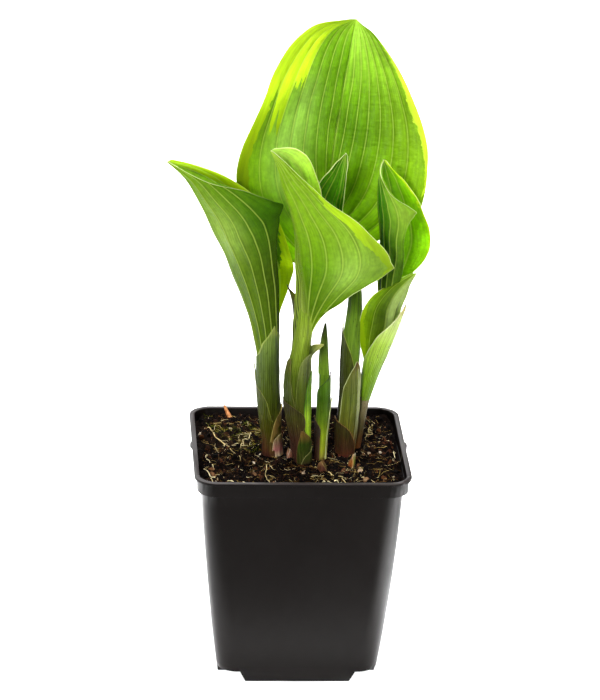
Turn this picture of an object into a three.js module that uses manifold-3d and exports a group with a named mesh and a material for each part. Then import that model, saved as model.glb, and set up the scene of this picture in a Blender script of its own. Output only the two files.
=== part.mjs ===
// Potted hosta: a square nursery pot, its soil, five shoots, six leaves and a rolled spear.
// Millimetres, +Z up, the origin on the resting face under the middle of the pot, -Y to the front.
import * as THREE from 'three';
import { mergeVertices } from 'three/addons/utils/BufferGeometryUtils.js';
import Module from 'manifold-3d';

const wasm = await Module();
wasm.setup();

// Pot
const POT_HEIGHT = 115;
const LIP_WIDTH = 110;
const LIP_THICKNESS = 1.3;
const LIP_TAB_LENGTH = 4;
const LIP_TAB_REACH = 1;
const BAND_WIDTH = 107;
const BAND_HEIGHT = 8;
const BODY_TOP_WIDTH = 102;
const BODY_BOTTOM_WIDTH = 81;
const BODY_BELLY = 1.2;
const BODY_RING_HEIGHTS = [25, 50, 78];
const LIP_CORNER_RADIUS = 12;
const BODY_CORNER_RADIUS = 11;
const CORNER_SEGMENTS = 4;
const WALL = 1;
const FOOT_HEIGHT = 5.6;
const FOOT_HALF_TOP = 29.6;
const FOOT_HALF_BOTTOM = 26.2;
const DRAIN_RADIUS = 3;
const DRAIN_SIDES = 12;
const DRAIN_PLACE = 34.25;
const CUT_PAST = 1;

// Soil: its lumps are crossing waves, each with a strength, a closeness along x and y and a phase
const CLEARANCE = 0.35;
const SOIL_HEIGHT = 110;
const SOIL_CELLS = 13;
const SOIL_ROUGHNESS = 1.1;
const SOIL_WAVES = [
  { strength: 0.5, x: 0.21, y: 0.18, phase: 0.7 },
  { strength: 0.5, x: 0.21, y: -0.18, phase: 1.9 },
  { strength: 0.6, x: 0.43, y: -0.37, phase: 0 },
  { strength: 0.5, x: 0.71, y: 0.64, phase: 3.57 },
];
const SOIL_BANK_RISE = 2.2;
const ROOTING_DEPTH = 14;
const FOOT_RISE = 2;
const HOLE_RISE = 20;
const LEAN_ALLOWANCE = 1.3;

// Leaves and stems
const BLADE_THICKNESS = 0.7;
const ROWS_PER_SPAN = 2;
const VEINS_PER_HALF = 5;
const COLUMNS_PER_VEIN = 2;
const RIB_HEIGHT = 0.35;
const FULL_RIB_WIDTH = 12;
const FADE_END = 0.02;
const STEM_SIDES = 8;
const SHEATH_THICKNESS = 1.1;
const SHEATH_ROWS = 4;
const SHEATH_TIP_SPREAD = 8;
const SHEATH_TAPER = 1.6;
const SHEATH_FLARE_POWER = 4;
const SOIL_LINE = 112.5;

const material = (color, roughness, metalness = 0) =>
  new THREE.MeshStandardMaterial({ color, roughness, metalness });

const POT_BLACK = material(0x26272a, 0.4);
const SOIL_BROWN = material(0x2a1d15, 0.95);
const LEAF_GREEN = material(0x6fa51e, 0.45);
const YOUNG_GREEN = material(0x5f9220, 0.5);
const TWIG_BROWN = material(0x9a5b2c, 0.8);

// Solids and booleans
function solidOf(geometry) {
  const bare = geometry.clone();
  bare.deleteAttribute('normal');
  bare.deleteAttribute('uv');
  const merged = mergeVertices(bare, 1e-4);
  return new wasm.Manifold(new wasm.Mesh({
    numProp: 3,
    vertProperties: Float32Array.from(merged.attributes.position.array),
    triVerts: Uint32Array.from(merged.index.array),
  }));
}

function geometryOf(solid) {
  const mesh = solid.getMesh();
  const geometry = new THREE.BufferGeometry();
  geometry.setAttribute('position', new THREE.BufferAttribute(mesh.vertProperties, 3));
  geometry.setIndex(new THREE.BufferAttribute(mesh.triVerts, 1));
  geometry.computeVertexNormals();
  return geometry;
}

const joined = (solids) => solids.reduce((whole, next) => whole.add(next));

// The outer body alone: small hollows that joining sealed are filled, and loose scraps dropped
function outerBody(solid) {
  return solid.decompose().reduce((largest, next) => (
    next.volume() > largest.volume() ? next : largest));
}

// A closed skin over rings of equal count, stacked upward, each ring anticlockwise from above
function loft(rings) {
  const count = rings[0].length;
  const positions = rings.flat().flatMap((point) => [point.x, point.y, point.z]);
  const triangles = [];
  for (let row = 0; row + 1 < rings.length; row += 1) {
    for (let side = 0; side < count; side += 1) {
      const next = (side + 1) % count;
      const low = row * count;
      const high = low + count;
      triangles.push(low + side, low + next, high + next);
      triangles.push(low + side, high + next, high + side);
    }
  }
  for (const [ring, facesUp] of [[0, false], [rings.length - 1, true]]) {
    const middle = positions.length / 3;
    const centre = new THREE.Vector3();
    rings[ring].forEach((point) => centre.addScaledVector(point, 1 / count));
    positions.push(centre.x, centre.y, centre.z);
    for (let side = 0; side < count; side += 1) {
      const first = ring * count + side;
      const second = ring * count + ((side + 1) % count);
      triangles.push(middle, facesUp ? first : second, facesUp ? second : first);
    }
  }
  const geometry = new THREE.BufferGeometry();
  geometry.setAttribute('position', new THREE.Float32BufferAttribute(positions, 3));
  geometry.setIndex(triangles);
  return geometry;
}

// Pot and soil
function roundedSquare(half, radius, z) {
  const ring = [];
  for (let corner = 0; corner < 4; corner += 1) {
    const start = corner * Math.PI / 2;
    const centreX = (half - radius) * Math.sign(Math.cos(start + Math.PI / 4));
    const centreY = (half - radius) * Math.sign(Math.sin(start + Math.PI / 4));
    for (let step = 0; step <= CORNER_SEGMENTS; step += 1) {
      const angle = start + step / CORNER_SEGMENTS * Math.PI / 2;
      ring.push(new THREE.Vector3(
        centreX + radius * Math.cos(angle), centreY + radius * Math.sin(angle), z));
    }
  }
  return ring;
}

function bodyHalf(z) {
  const rise = z / (POT_HEIGHT - BAND_HEIGHT);
  const belly = BODY_BELLY * 4 * rise * (1 - rise);
  return (BODY_BOTTOM_WIDTH + (BODY_TOP_WIDTH - BODY_BOTTOM_WIDTH) * rise) / 2 + belly;
}

const bodyRing = (z, inset) => (
  roundedSquare(bodyHalf(z) - inset, BODY_CORNER_RADIUS - inset, z));

const bandRing = (z, inset) => (
  roundedSquare(BAND_WIDTH / 2 - inset, BODY_CORNER_RADIUS - inset, z));

const lipRing = (z) => roundedSquare(LIP_WIDTH / 2, LIP_CORNER_RADIUS, z);

function potOutside() {
  const shoulder = POT_HEIGHT - BAND_HEIGHT;
  const lipUnderside = POT_HEIGHT - LIP_THICKNESS;
  const rings = [0, ...BODY_RING_HEIGHTS, shoulder].map((z) => bodyRing(z, 0));
  rings.push(bandRing(shoulder, 0), bandRing(lipUnderside, 0));
  rings.push(lipRing(lipUnderside), lipRing(POT_HEIGHT));
  return solidOf(loft(rings));
}

// The room inside the walls and floor up to the height top, made smaller all round by a gap
function potInside(gap, top) {
  const inset = WALL + gap;
  const ledge = POT_HEIGHT - BAND_HEIGHT + inset;
  const rings = [inset, ...BODY_RING_HEIGHTS, ledge].map((z) => bodyRing(z, inset));
  rings.push(bandRing(ledge, inset), bandRing(top, inset));
  return solidOf(loft(rings));
}

const CORNER_SIGNS = [[1, 1], [-1, 1], [-1, -1], [1, -1]];

// The four raised corners of the foot, grown by a margin for what lies inside them
function raisedCorners(margin) {
  const outer = BODY_BOTTOM_WIDTH;
  const blocks = [];
  for (const [sx, sy] of CORNER_SIGNS) {
    const square = (inner, z) => {
      const xs = [sx * inner, sx * outer].sort((a, b) => a - b);
      const ys = [sy * inner, sy * outer].sort((a, b) => a - b);
      return [[xs[0], ys[0]], [xs[1], ys[0]], [xs[1], ys[1]], [xs[0], ys[1]]]
        .map(([x, y]) => new THREE.Vector3(x, y, z));
    };
    blocks.push(solidOf(loft([
      square(FOOT_HALF_BOTTOM - margin, -CUT_PAST),
      square(FOOT_HALF_TOP - margin, FOOT_HEIGHT + margin),
    ])));
  }
  return joined(blocks);
}

function upright(radius, x, y, low, high, sides) {
  const geometry = new THREE.CylinderGeometry(radius, radius, high - low, sides);
  geometry.rotateX(Math.PI / 2);
  geometry.translate(x, y, (low + high) / 2);
  return solidOf(geometry);
}

function box(width, depth, height, x, y, z) {
  const geometry = new THREE.BoxGeometry(width, depth, height);
  geometry.translate(x, y, z);
  return solidOf(geometry);
}

function pot() {
  const drainTop = FOOT_HEIGHT + WALL + CUT_PAST;
  const drains = CORNER_SIGNS.map(([sx, sy]) => upright(
    DRAIN_RADIUS, sx * DRAIN_PLACE, sy * DRAIN_PLACE, -CUT_PAST, drainTop, DRAIN_SIDES));
  const tabs = [-1, 1].map((side) => box(
    2 * LIP_TAB_REACH, LIP_TAB_LENGTH, LIP_THICKNESS,
    side * LIP_WIDTH / 2, 0, POT_HEIGHT - LIP_THICKNESS / 2));
  return joined([potOutside(), ...tabs])
    .subtract(potInside(0, POT_HEIGHT + CUT_PAST).subtract(raisedCorners(WALL)))
    .subtract(raisedCorners(0))
    .subtract(joined(drains));
}

function soilHeight(x, y) {
  const lumps = SOIL_WAVES.reduce((sum, wave) => (
    sum + wave.strength * Math.sin(wave.x * x + wave.y * y + wave.phase)), 0);
  const bank = SOIL_BANK_RISE * Math.max(0, 2 * y / BAND_WIDTH) ** 2;
  return SOIL_HEIGHT + SOIL_ROUGHNESS * lumps + bank;
}

function soilBlock() {
  const half = BAND_WIDTH / 2 + CUT_PAST;
  const count = SOIL_CELLS + 1;
  const place = (step) => -half + 2 * half * step / SOIL_CELLS;
  const positions = [];
  const triangles = [];
  for (const top of [true, false]) {
    for (let row = 0; row < count; row += 1) {
      for (let column = 0; column < count; column += 1) {
        const x = place(column);
        const y = place(row);
        positions.push(x, y, top ? soilHeight(x, y) : -CUT_PAST);
      }
    }
  }
  const under = count * count;
  for (let row = 0; row < SOIL_CELLS; row += 1) {
    for (let column = 0; column < SOIL_CELLS; column += 1) {
      const a = row * count + column;
      const b = a + 1;
      const c = b + count;
      const d = a + count;
      triangles.push(a, b, c, a, c, d);
      triangles.push(under + a, under + c, under + b, under + a, under + d, under + c);
    }
  }
  for (let step = 0; step < SOIL_CELLS; step += 1) {
    const edges = [
      [step, step + 1],
      [SOIL_CELLS + step * count, SOIL_CELLS + (step + 1) * count],
      [under - 1 - step, under - 2 - step],
      [(SOIL_CELLS - step) * count, (SOIL_CELLS - step - 1) * count],
    ];
    edges.forEach(([a, b]) => {
      triangles.push(under + a, under + b, b, under + a, b, a);
    });
  }
  const geometry = new THREE.BufferGeometry();
  geometry.setAttribute('position', new THREE.Float32BufferAttribute(positions, 3));
  geometry.setIndex(triangles);
  return solidOf(geometry);
}

// The growing things are drawn along smooth rails through hand-placed points
const vector = ([x, y, z]) => new THREE.Vector3(x, y, z);
const rail = (points) => new THREE.CatmullRomCurve3(points.map(vector), false, 'catmullrom', 0.5);

// A number, or a run of numbers spaced evenly from the foot to the tip
function along(values, u) {
  if (!Array.isArray(values)) return values;
  const place = u * (values.length - 1);
  const first = Math.min(Math.floor(place), values.length - 2);
  return THREE.MathUtils.lerp(values[first], values[first + 1], place - first);
}

// A closed sheet of even thickness over a grid of points given by at(u, w), u up and w across
function sheet(at, rows, columns, thickness) {
  const grid = [];
  for (let row = 0; row <= rows; row += 1) {
    const line = [];
    for (let column = 0; column <= columns; column += 1) {
      line.push(at(row / rows, 2 * column / columns - 1));
    }
    grid.push(line);
  }
  const pick = (row, column) => grid[THREE.MathUtils.clamp(row, 0, rows)][
    THREE.MathUtils.clamp(column, 0, columns)];
  const faces = [1, -1].map((side) => grid.map((line, row) => line.map((point, column) => {
    const up = pick(row + 1, column).clone().sub(pick(row - 1, column));
    const across = pick(row, column + 1).clone().sub(pick(row, column - 1));
    const normal = across.cross(up).normalize();
    return point.clone().addScaledVector(normal, side * thickness / 2);
  })));
  const positions = faces.flat(2).flatMap((point) => [point.x, point.y, point.z]);
  const width = columns + 1;
  const under = (rows + 1) * width;
  const triangles = [];
  for (let row = 0; row < rows; row += 1) {
    for (let column = 0; column < columns; column += 1) {
      const a = row * width + column;
      const b = a + 1;
      const c = b + width;
      const d = a + width;
      triangles.push(a, b, c, a, c, d);
      triangles.push(under + a, under + c, under + b, under + a, under + d, under + c);
    }
  }
  const wall = (a, b) => triangles.push(under + a, under + b, b, under + a, b, a);
  for (let column = 0; column < columns; column += 1) {
    wall(column, column + 1);
    wall(rows * width + column + 1, rows * width + column);
  }
  for (let row = 0; row < rows; row += 1) {
    wall((row + 1) * width, row * width);
    wall(row * width + columns, (row + 1) * width + columns);
  }
  const geometry = new THREE.BufferGeometry();
  geometry.setAttribute('position', new THREE.Float32BufferAttribute(positions, 3));
  geometry.setIndex(triangles);
  return solidOf(geometry);
}

// A blade: each half is an arc from the midrib to its margin, cupped away from the upper face,
// with the lengthwise ribs of the veins and a waved margin
function blade(leaf) {
  const midrib = rail(leaf.midrib);
  const margins = { left: rail(leaf.left), right: rail(leaf.right) };
  const ribs = leaf.ribs ?? VEINS_PER_HALF;
  const at = (u, w) => {
    const side = w < 0 ? 'left' : 'right';
    const turn = w < 0 ? -1 : 1;
    const v = Math.abs(w);
    const rib = midrib.getPoint(u);
    const edge = margins[side].getPoint(u);
    const chord = edge.clone().sub(rib);
    const outward = midrib.getTangent(u).cross(chord).multiplyScalar(turn).normalize();
    const inner = THREE.MathUtils.clamp(u, FADE_END, 1 - FADE_END);
    const fade = Math.sqrt(Math.sin(Math.PI * inner));
    const belly = 2 * v * (1 - v) * along(leaf.cup[side], u) * chord.length();
    const ridge = RIB_HEIGHT * fade * Math.min(1, chord.length() / FULL_RIB_WIDTH)
      * Math.cos(2 * Math.PI * ribs * v);
    const ripple = Math.sin(2 * Math.PI * leaf.wave.count * u + turn);
    const wave = leaf.wave.height * v ** 3 * fade * ripple;
    return rib.addScaledVector(chord, v).addScaledVector(outward, belly + ridge + wave);
  };
  const rows = ROWS_PER_SPAN * (leaf.midrib.length - 1);
  return sheet(at, rows, 2 * ribs * COLUMNS_PER_VEIN, BLADE_THICKNESS);
}

// A round stem with its own radius at each of its points, from the soil up into its leaf
function stem({ path, radii }) {
  const curve = rail(path);
  const steps = path.length - 1;
  const rings = [];
  for (let step = 0; step <= steps; step += 1) {
    const u = step / steps;
    const centre = curve.getPoint(u);
    const tangent = curve.getTangent(u);
    const across = new THREE.Vector3(0, 1, 0).cross(tangent).normalize();
    const away = tangent.clone().cross(across);
    const ring = [];
    for (let side = 0; side < STEM_SIDES; side += 1) {
      const angle = 2 * Math.PI * side / STEM_SIDES;
      ring.push(centre.clone()
        .addScaledVector(across, along(radii, u) * Math.cos(angle))
        .addScaledVector(away, along(radii, u) * Math.sin(angle)));
    }
    rings.push(ring);
  }
  return solidOf(loft(rings));
}

// The place on a rising curve where it reaches a height, found by halving
function riseTo(curve, height) {
  let low = 0;
  let high = 1;
  for (let step = 0; step < 20; step += 1) {
    const middle = (low + high) / 2;
    if (curve.getPoint(middle).z < height) low = middle;
    else high = middle;
  }
  return low;
}

// A sheath clasps its stem from the height low to the height high, where it ends in one tip that
// stands to the side facing; wrap is half the angle that its foot goes round, in degrees. It is
// grown to the stem below, swells off it by swell half way and by flare at the tip.
function sheath({ path, radii }, { low, high, facing, wrap, flare = 0.8, swell = 0 }) {
  const curve = rail(path);
  const at = (u, w) => {
    const height = THREE.MathUtils.lerp(low, high, u);
    const rise = riseTo(curve, height);
    const centre = curve.getPoint(rise);
    const spread = Math.max(wrap * (1 - u ** SHEATH_TAPER), SHEATH_TIP_SPREAD);
    const angle = THREE.MathUtils.degToRad(facing + spread * w);
    const radius = along(radii, rise)
      + swell * Math.sin(Math.PI * u) + flare * u ** SHEATH_FLARE_POWER;
    return new THREE.Vector3(
      centre.x + radius * Math.cos(angle), centre.y + radius * Math.sin(angle), height);
  };
  const columns = 2 * Math.round(wrap * STEM_SIDES / 360);
  return sheet(at, SHEATH_ROWS, columns, SHEATH_THICKNESS);
}

// The foot of a shoot is the plain round part that stands in its hole in the soil
function foot({ path: [[x, y]], foot: radius }) {
  const height = soilHeight(x, y);
  return upright(radius, x, y, height - ROOTING_DEPTH, height + FOOT_RISE, STEM_SIDES);
}

// The hole clears the foot all round, and the leaning stem where it leaves the soil
function plantingHole({ path, radii, foot: radius }) {
  const [x, y] = path[0];
  const height = soilHeight(x, y);
  const low = height - ROOTING_DEPTH - CLEARANCE;
  const wider = radii.map((width) => width + LEAN_ALLOWANCE * CLEARANCE);
  return upright(radius + CLEARANCE, x, y, low, height + HOLE_RISE, STEM_SIDES)
    .add(stem({ path, radii: wider }));
}

function growing(shoot) {
  return outerBody(joined([
    foot(shoot),
    stem(shoot),
    ...(shoot.blades ?? []).map(blade),
    ...(shoot.sheaths ?? []).map((sleeve) => sheath(shoot, sleeve)),
  ]));
}

// Every point is a place on the plant; a blade has a midrib and a margin on either side of it,
// left and right as seen from its upper face, with as many points in each of the three
const shoots = {
  shoot_left: {
    foot: 4.6,
    path: [[-12, -4, 106], [-14.5, -4, 121], [-16, -4, 138], [-17.2, -4, 155],
      [-18.5, -4.5, 170], [-27, -6.5, 189]],
    radii: [4, 5.2, 5.2, 5.3, 4.4, 0.9],
    blades: [{
      midrib: [[-22, -4, 162], [-24.5, -6, 175], [-29, -7, 193], [-35, -7, 211],
        [-42, -6, 225], [-51, -5, 242], [-60, -3, 258], [-70, -1, 267]],
      left: [[-13, -6, 162], [-12, -10, 184], [-13, -14, 207], [-15, -17, 231],
        [-13, -17, 249], [-28, -16, 256], [-51, -12, 260], [-69, -3, 267]],
      right: [[-14, -1, 162], [-13, 4, 184], [-8, 10, 199], [-6, 12, 212],
        [-12, 12, 231], [-29, 10, 249], [-50, 7, 261], [-69, 1, 268]],
      cup: { left: [0.5, 0.5, 0.5, 0.45, 0.32, 0.4, 0.5], right: 0.5 },
      wave: { height: 0.8, count: 2 },
    }],
    sheaths: [
      { low: SOIL_LINE, high: 180, facing: 35, wrap: 150 },
      { low: SOIL_LINE, high: 160.5, facing: 180, wrap: 100, flare: 1.2 },
      { low: SOIL_LINE, high: 139, facing: 335, wrap: 110 },
    ],
  },
  shoot_centre: {
    foot: 6.2,
    path: [[1, -14, 106], [-0.5, -15, 124], [-2, -15, 141], [-2, -15.5, 158],
      [-1, -16, 173], [-0.5, -18.5, 190], [-2, -21.5, 208]],
    radii: [4.4, 5.6, 6.3, 6.2, 4.4, 3.9, 0.9],
    blades: [{
      midrib: [[-1.5, -18, 172], [-0.5, -20, 189], [-2, -22, 206], [-4, -23, 222],
        [-7, -23, 240], [-11, -22, 255], [-15, -20, 268], [-19, -17, 278]],
      left: [[2.5, -17, 174], [6, -20, 190], [21, -24, 203], [43, -24, 219],
        [29, -29, 241], [9, -31, 257], [-7, -27, 270], [-18, -18, 278]],
      right: [[-3, -14, 172], [-2, -11, 187], [7, -6, 204], [15, -4, 225],
        [15, -5, 246], [4, -8, 264], [-6, -12, 277], [-18, -16, 279]],
      cup: { left: 0.22, right: 0.5 },
      wave: { height: 0.8, count: 2 },
    }],
    sheaths: [
      { low: SOIL_LINE, high: 174, facing: 355, wrap: 150, flare: 2 },
      { low: SOIL_LINE, high: 167, facing: 185, wrap: 90, flare: 0.6, swell: 0.5 },
      { low: 119, high: 156, facing: 318, wrap: 38, flare: 0.3 },
      { low: SOIL_LINE, high: 146, facing: 200, wrap: 110 },
      { low: SOIL_LINE, high: 121, facing: 315, wrap: 70 },
    ],
  },
  shoot_back: {
    foot: 3.6,
    path: [[-1, 1.5, 106], [-2, 1.5, 128], [-2.5, 2, 150], [-1.5, 5, 174],
      [2, 11, 194], [8, 16.5, 209], [11, 22, 229]],
    radii: [3.2, 3, 2.9, 2.7, 2.5, 2, 0.8],
    blades: [{
      midrib: [[8, 16, 205], [10, 19, 218], [12, 23, 238], [14, 28, 260],
        [18, 34, 282], [22, 42, 302], [25, 51, 317], [27, 55, 325]],
      left: [[5, 16, 205], [-6, 20, 210], [-24, 22, 226], [-33, 22, 253],
        [-24, 26, 283], [-12, 35, 309], [5, 46, 323], [25, 54, 326]],
      right: [[11, 16, 206], [37, 18, 219], [57, 19, 233], [63, 20, 262],
        [58, 25, 285], [48, 34, 305], [36, 46, 320], [28, 54, 325]],
      cup: { left: 0.12, right: 0.12 },
      wave: { height: 1.2, count: 2 },
    }],
    sheaths: [{ low: 140, high: 198, facing: 200, wrap: 120, flare: 1.5 }],
  },
  spear: {
    foot: 2.9,
    path: [[10.5, -10, 106], [10.2, -10, 121], [11, -10, 136], [11.7, -10, 151],
      [11.2, -10, 164], [11, -10, 176], [11.9, -10, 185]],
    radii: [2, 2.7, 2.7, 1.9, 2.1, 1.5, 0.3],
    sheaths: [
      { low: SOIL_LINE, high: 158, facing: 0, wrap: 120, flare: 0.3 },
      { low: SOIL_LINE, high: 134.5, facing: 185, wrap: 120, flare: 0.6 },
    ],
  },
  shoot_right_centre: {
    foot: 4.8,
    path: [[23.8, -1, 106], [24.2, 0, 123], [25, 0, 141], [25.2, 0, 158],
      [25.6, 0, 173], [26.6, 0, 190], [26, 1, 204], [21, 4, 220]],
    radii: [4.4, 5, 4.5, 4.2, 3.9, 3.6, 2.6, 0.8],
    blades: [{
      midrib: [[27, 0, 193], [24, 3, 213], [19, 5, 227], [14, 6, 240],
        [16, 6, 251], [18, 6, 261], [20, 6, 270]],
      left: [[24, 0, 194], [15, -1, 215], [6, -1, 232], [3, 0, 247],
        [9, 1, 258], [15, 3, 266], [20, 5, 270]],
      right: [[29.5, 0, 195], [30, 1, 212], [24, 2, 228], [19, 2, 240],
        [20, 3, 253], [21, 4, 262], [21, 5, 269]],
      cup: { left: 0.3, right: 0.4 },
      wave: { height: 0.4, count: 2 },
      ribs: 3,
    }],
    sheaths: [
      { low: SOIL_LINE, high: 179.5, facing: 190, wrap: 140, flare: 0.6 },
      { low: SOIL_LINE, high: 161.5, facing: 310, wrap: 130, flare: 0.4 },
      { low: SOIL_LINE, high: 131, facing: 190, wrap: 120, flare: 0.6 },
    ],
  },
  shoot_right: {
    foot: 2.4,
    path: [[29.5, 6, 106], [31, 5, 120], [33, 4, 138], [36, 3, 154],
      [40, 2, 170], [42.5, 2, 186], [42, 2, 198], [39.5, 1, 212]],
    radii: [1.6, 1.9, 2.6, 3, 3.2, 3.2, 2.6, 0.8],
    blades: [
      {
        midrib: [[42, 2, 191], [39, 1, 207], [39, 0, 223], [38, 0, 236],
          [37, 0, 246], [37, 1, 256], [38, 3, 263], [39, 5, 267]],
        left: [[46, -1, 194], [50, -5, 209], [51, -8, 221], [51, -10, 233],
          [54, -10, 244], [42, -7, 253], [37, -2, 263], [39, 4, 267]],
        right: [[50, 5, 195], [56, 8, 205], [62, 11, 213], [65, 13, 224],
          [61, 13, 237], [54, 12, 250], [46, 9, 259], [40, 6, 267]],
        cup: { left: 0.4, right: 0.4 },
        wave: { height: 0.4, count: 2 },
        ribs: 4,
      },
      {
        midrib: [[37, 0, 160], [40, -4, 173], [43, -6, 184],
          [46, -6, 193], [50, -5, 202], [56, -2, 209]],
        left: [[40, 2, 160], [46, -2, 173], [49, -2, 183],
          [51, -2, 192], [54, -2, 200], [57, -1, 208]],
        right: [[34, 2, 160], [31, -1, 173], [30, -3, 184],
          [34, -4, 195], [44, -3, 203], [55, -2, 209]],
        cup: { left: 0.25, right: 0.25 },
        wave: { height: 0.3, count: 1 },
        ribs: 3,
      },
    ],
    sheaths: [
      { low: 136, high: 190, facing: 0, wrap: 165, flare: 7, swell: 2.4 },
      { low: SOIL_LINE, high: 140, facing: 200, wrap: 150, flare: 0 },
    ],
  },
  bud_front: {
    foot: 2.7,
    path: [[10.7, -24, 106], [10.7, -24, 110], [10.8, -24, 113], [11, -24, 116]],
    radii: [2.5, 2.7, 2.1, 0.3],
  },
  bud_small: {
    foot: 1.6,
    path: [[-5, -6.5, 106], [-5, -6.5, 110], [-5.1, -6.6, 112.5], [-5.3, -6.8, 115]],
    radii: [1.4, 1.6, 1.2, 0.3],
  },
};

const TWIG_FOOT = [-31, 44, 107];
const TWIG_TIP = [-36.5, 51, 117];
const TWIG_RADIUS = 1.1;

function twig(gap) {
  const radius = TWIG_RADIUS + gap;
  return stem({ path: [TWIG_FOOT, TWIG_TIP], radii: [radius, radius] });
}

function soil() {
  const bed = potInside(CLEARANCE, POT_HEIGHT + BAND_HEIGHT)
    .subtract(raisedCorners(WALL + CLEARANCE));
  const holes = joined(Object.values(shoots).map(plantingHole));
  return soilBlock().intersect(bed).subtract(holes).subtract(twig(CLEARANCE));
}

const group = new THREE.Group();

function addNode(name, solid, look) {
  const mesh = new THREE.Mesh(geometryOf(solid), look);
  mesh.name = name;
  group.add(mesh);
}

addNode('pot', pot(), POT_BLACK);
addNode('soil', soil(), SOIL_BROWN);
addNode('twig', twig(0), TWIG_BROWN);
Object.entries(shoots).forEach(([name, shoot]) => {
  addNode(name, growing(shoot), shoot.blades ? LEAF_GREEN : YOUNG_GREEN);
});

export default group;
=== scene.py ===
"""A young hosta in a square nursery pot: ribbed, yellow-edged leaves on sheathed stems, in peaty soil.

Lengths are in millimetres until a mesh is made. +Z is up, -Y is the front, and the origin lies on
the resting face under the middle of the pot.
"""
import math

import bpy
import numpy as np
from mathutils import Matrix, Vector


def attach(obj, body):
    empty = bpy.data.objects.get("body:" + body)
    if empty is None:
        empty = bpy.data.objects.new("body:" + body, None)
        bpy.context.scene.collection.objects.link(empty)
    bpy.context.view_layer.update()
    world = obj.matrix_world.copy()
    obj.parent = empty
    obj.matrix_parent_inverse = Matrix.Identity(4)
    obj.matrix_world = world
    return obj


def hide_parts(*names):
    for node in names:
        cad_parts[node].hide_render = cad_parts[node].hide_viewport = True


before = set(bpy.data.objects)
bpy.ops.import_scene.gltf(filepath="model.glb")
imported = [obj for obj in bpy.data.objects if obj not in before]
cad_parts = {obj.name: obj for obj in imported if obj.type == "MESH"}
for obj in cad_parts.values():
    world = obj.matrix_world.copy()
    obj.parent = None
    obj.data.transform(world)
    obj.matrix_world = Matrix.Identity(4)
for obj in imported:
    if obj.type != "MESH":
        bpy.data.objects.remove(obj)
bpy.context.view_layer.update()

MM = 0.001

# Pot: its tabs are soft swellings of the lip, and its foot leaves out the four corners
POT_HEIGHT = 115
LIP_WIDTH = 110
LIP_THICKNESS = 1.3
LIP_TAB_HALF_LENGTH = 6
LIP_TAB_REACH = 1
LIP_TAB_SUNK = 0.3
LIP_TAB_FULLNESS = 0.7
BAND_WIDTH = 107
BAND_HEIGHT = 8
BODY_TOP_WIDTH = 102
BODY_BOTTOM_WIDTH = 81
BODY_BELLY = 1.2
BODY_RINGS = 14
LIP_CORNER_RADIUS = 12
BODY_CORNER_RADIUS = 11
CORNER_STEPS = 12
WALL = 1
FOOT_HEIGHT = 5.6
FOOT_HALF_TOP = 29.6
FOOT_HALF_BOTTOM = 26.2
DRAIN_RADIUS = 3
DRAIN_PLACE = 34.25
DRAIN_SIDES = 40
CUT_PAST = 1
EDGE_ROUNDING = 0.32

# Soil: its lumps are crossing waves, each with a strength, a closeness along x and y and a phase
CLEARANCE = 0.35
SOIL_HEIGHT = 110
SOIL_ROUGHNESS = 1.1
SOIL_WAVES = [(0.5, 0.21, 0.18, 0.7), (0.5, 0.21, -0.18, 1.9), (0.6, 0.43, -0.37, 0), (0.5, 0.71, 0.64, 3.57)]
SOIL_BANK_RISE = 2.2
SOIL_EDGE_DROP = 1.6
SOIL_EDGE_REACH = 5
SOIL_FLOOR = 7
SOIL_RINGS = 70
BED_STEPS = {"side_steps": 40, "corner_steps": 10}
BED_WALL_RINGS = 8
CRUMBLE = 0.35
SCATTER_HALF = 50.6
GROUND_STEP = 1.1
ROOT_ROWS = 50
ROOT_SIDES = 7
ROOT_SLIMNESS = 0.56
ROOT_LIFT = 0.4

# Leaves and stems: the margin's hold is how near the margin the skin turns to meet it, sheaths lie
# one step outside each other, and where there is no yellow its band and strips end far away
BLADE_ROWS = 100
LANE_COLUMNS = 10
BLADE_THICKNESS = 0.5
MARGIN_THICKNESS = 0.3
PILLOW_HEIGHT = 0.8
VEIN_HEIGHT = 0.16
FULL_RIB_WIDTH = 12
TIP_START = 0.985
VEIN_EASE = 9
FRILL_HEIGHT = 0.28
FRILL_CLOSENESS = 3.3
MARGIN_HOLD = 16
NO_BAND = -9
NO_STRIP = -30.0
STEM_SIDES = 40
STEM_ROWS = 70
STEM_GROOVES = 0.02
STEM_LANES = 36
STEM_BLUSH_TOP = 132
SHEATH_THICKNESS = 0.5
SHEATH_STEP = 0.26
SHEATH_ROWS = 70
SHEATH_COLUMNS = 60
SHEATH_BLUSH_TOP = 134
EDGE_WIDTH = 0.3
FAR_FROM_EDGE = 5.0
SOIL_LINE = 111.5

# Twig
TWIG_PATH = [(-31, 44, 107), (-33, 46.4, 110.6), (-35, 49, 114), (-36.5, 51, 117)]
TWIG_RADII = [1.0, 1.1, 0.95, 0.5]
TWIG_ROWS = 30
TWIG_SIDES = 14
TWIG_GROOVES = 0.12

# Camera: turned about the pot, tilted down and rolled, on a long lens
CAMERA_TURN = -3.7
CAMERA_TILT = 19.95
CAMERA_ROLL = 1.6
CAMERA_AIM = (-0.7, 0, 166.7)
CAMERA_DISTANCE = 2000
CAMERA_LENS = 201.65

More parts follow.
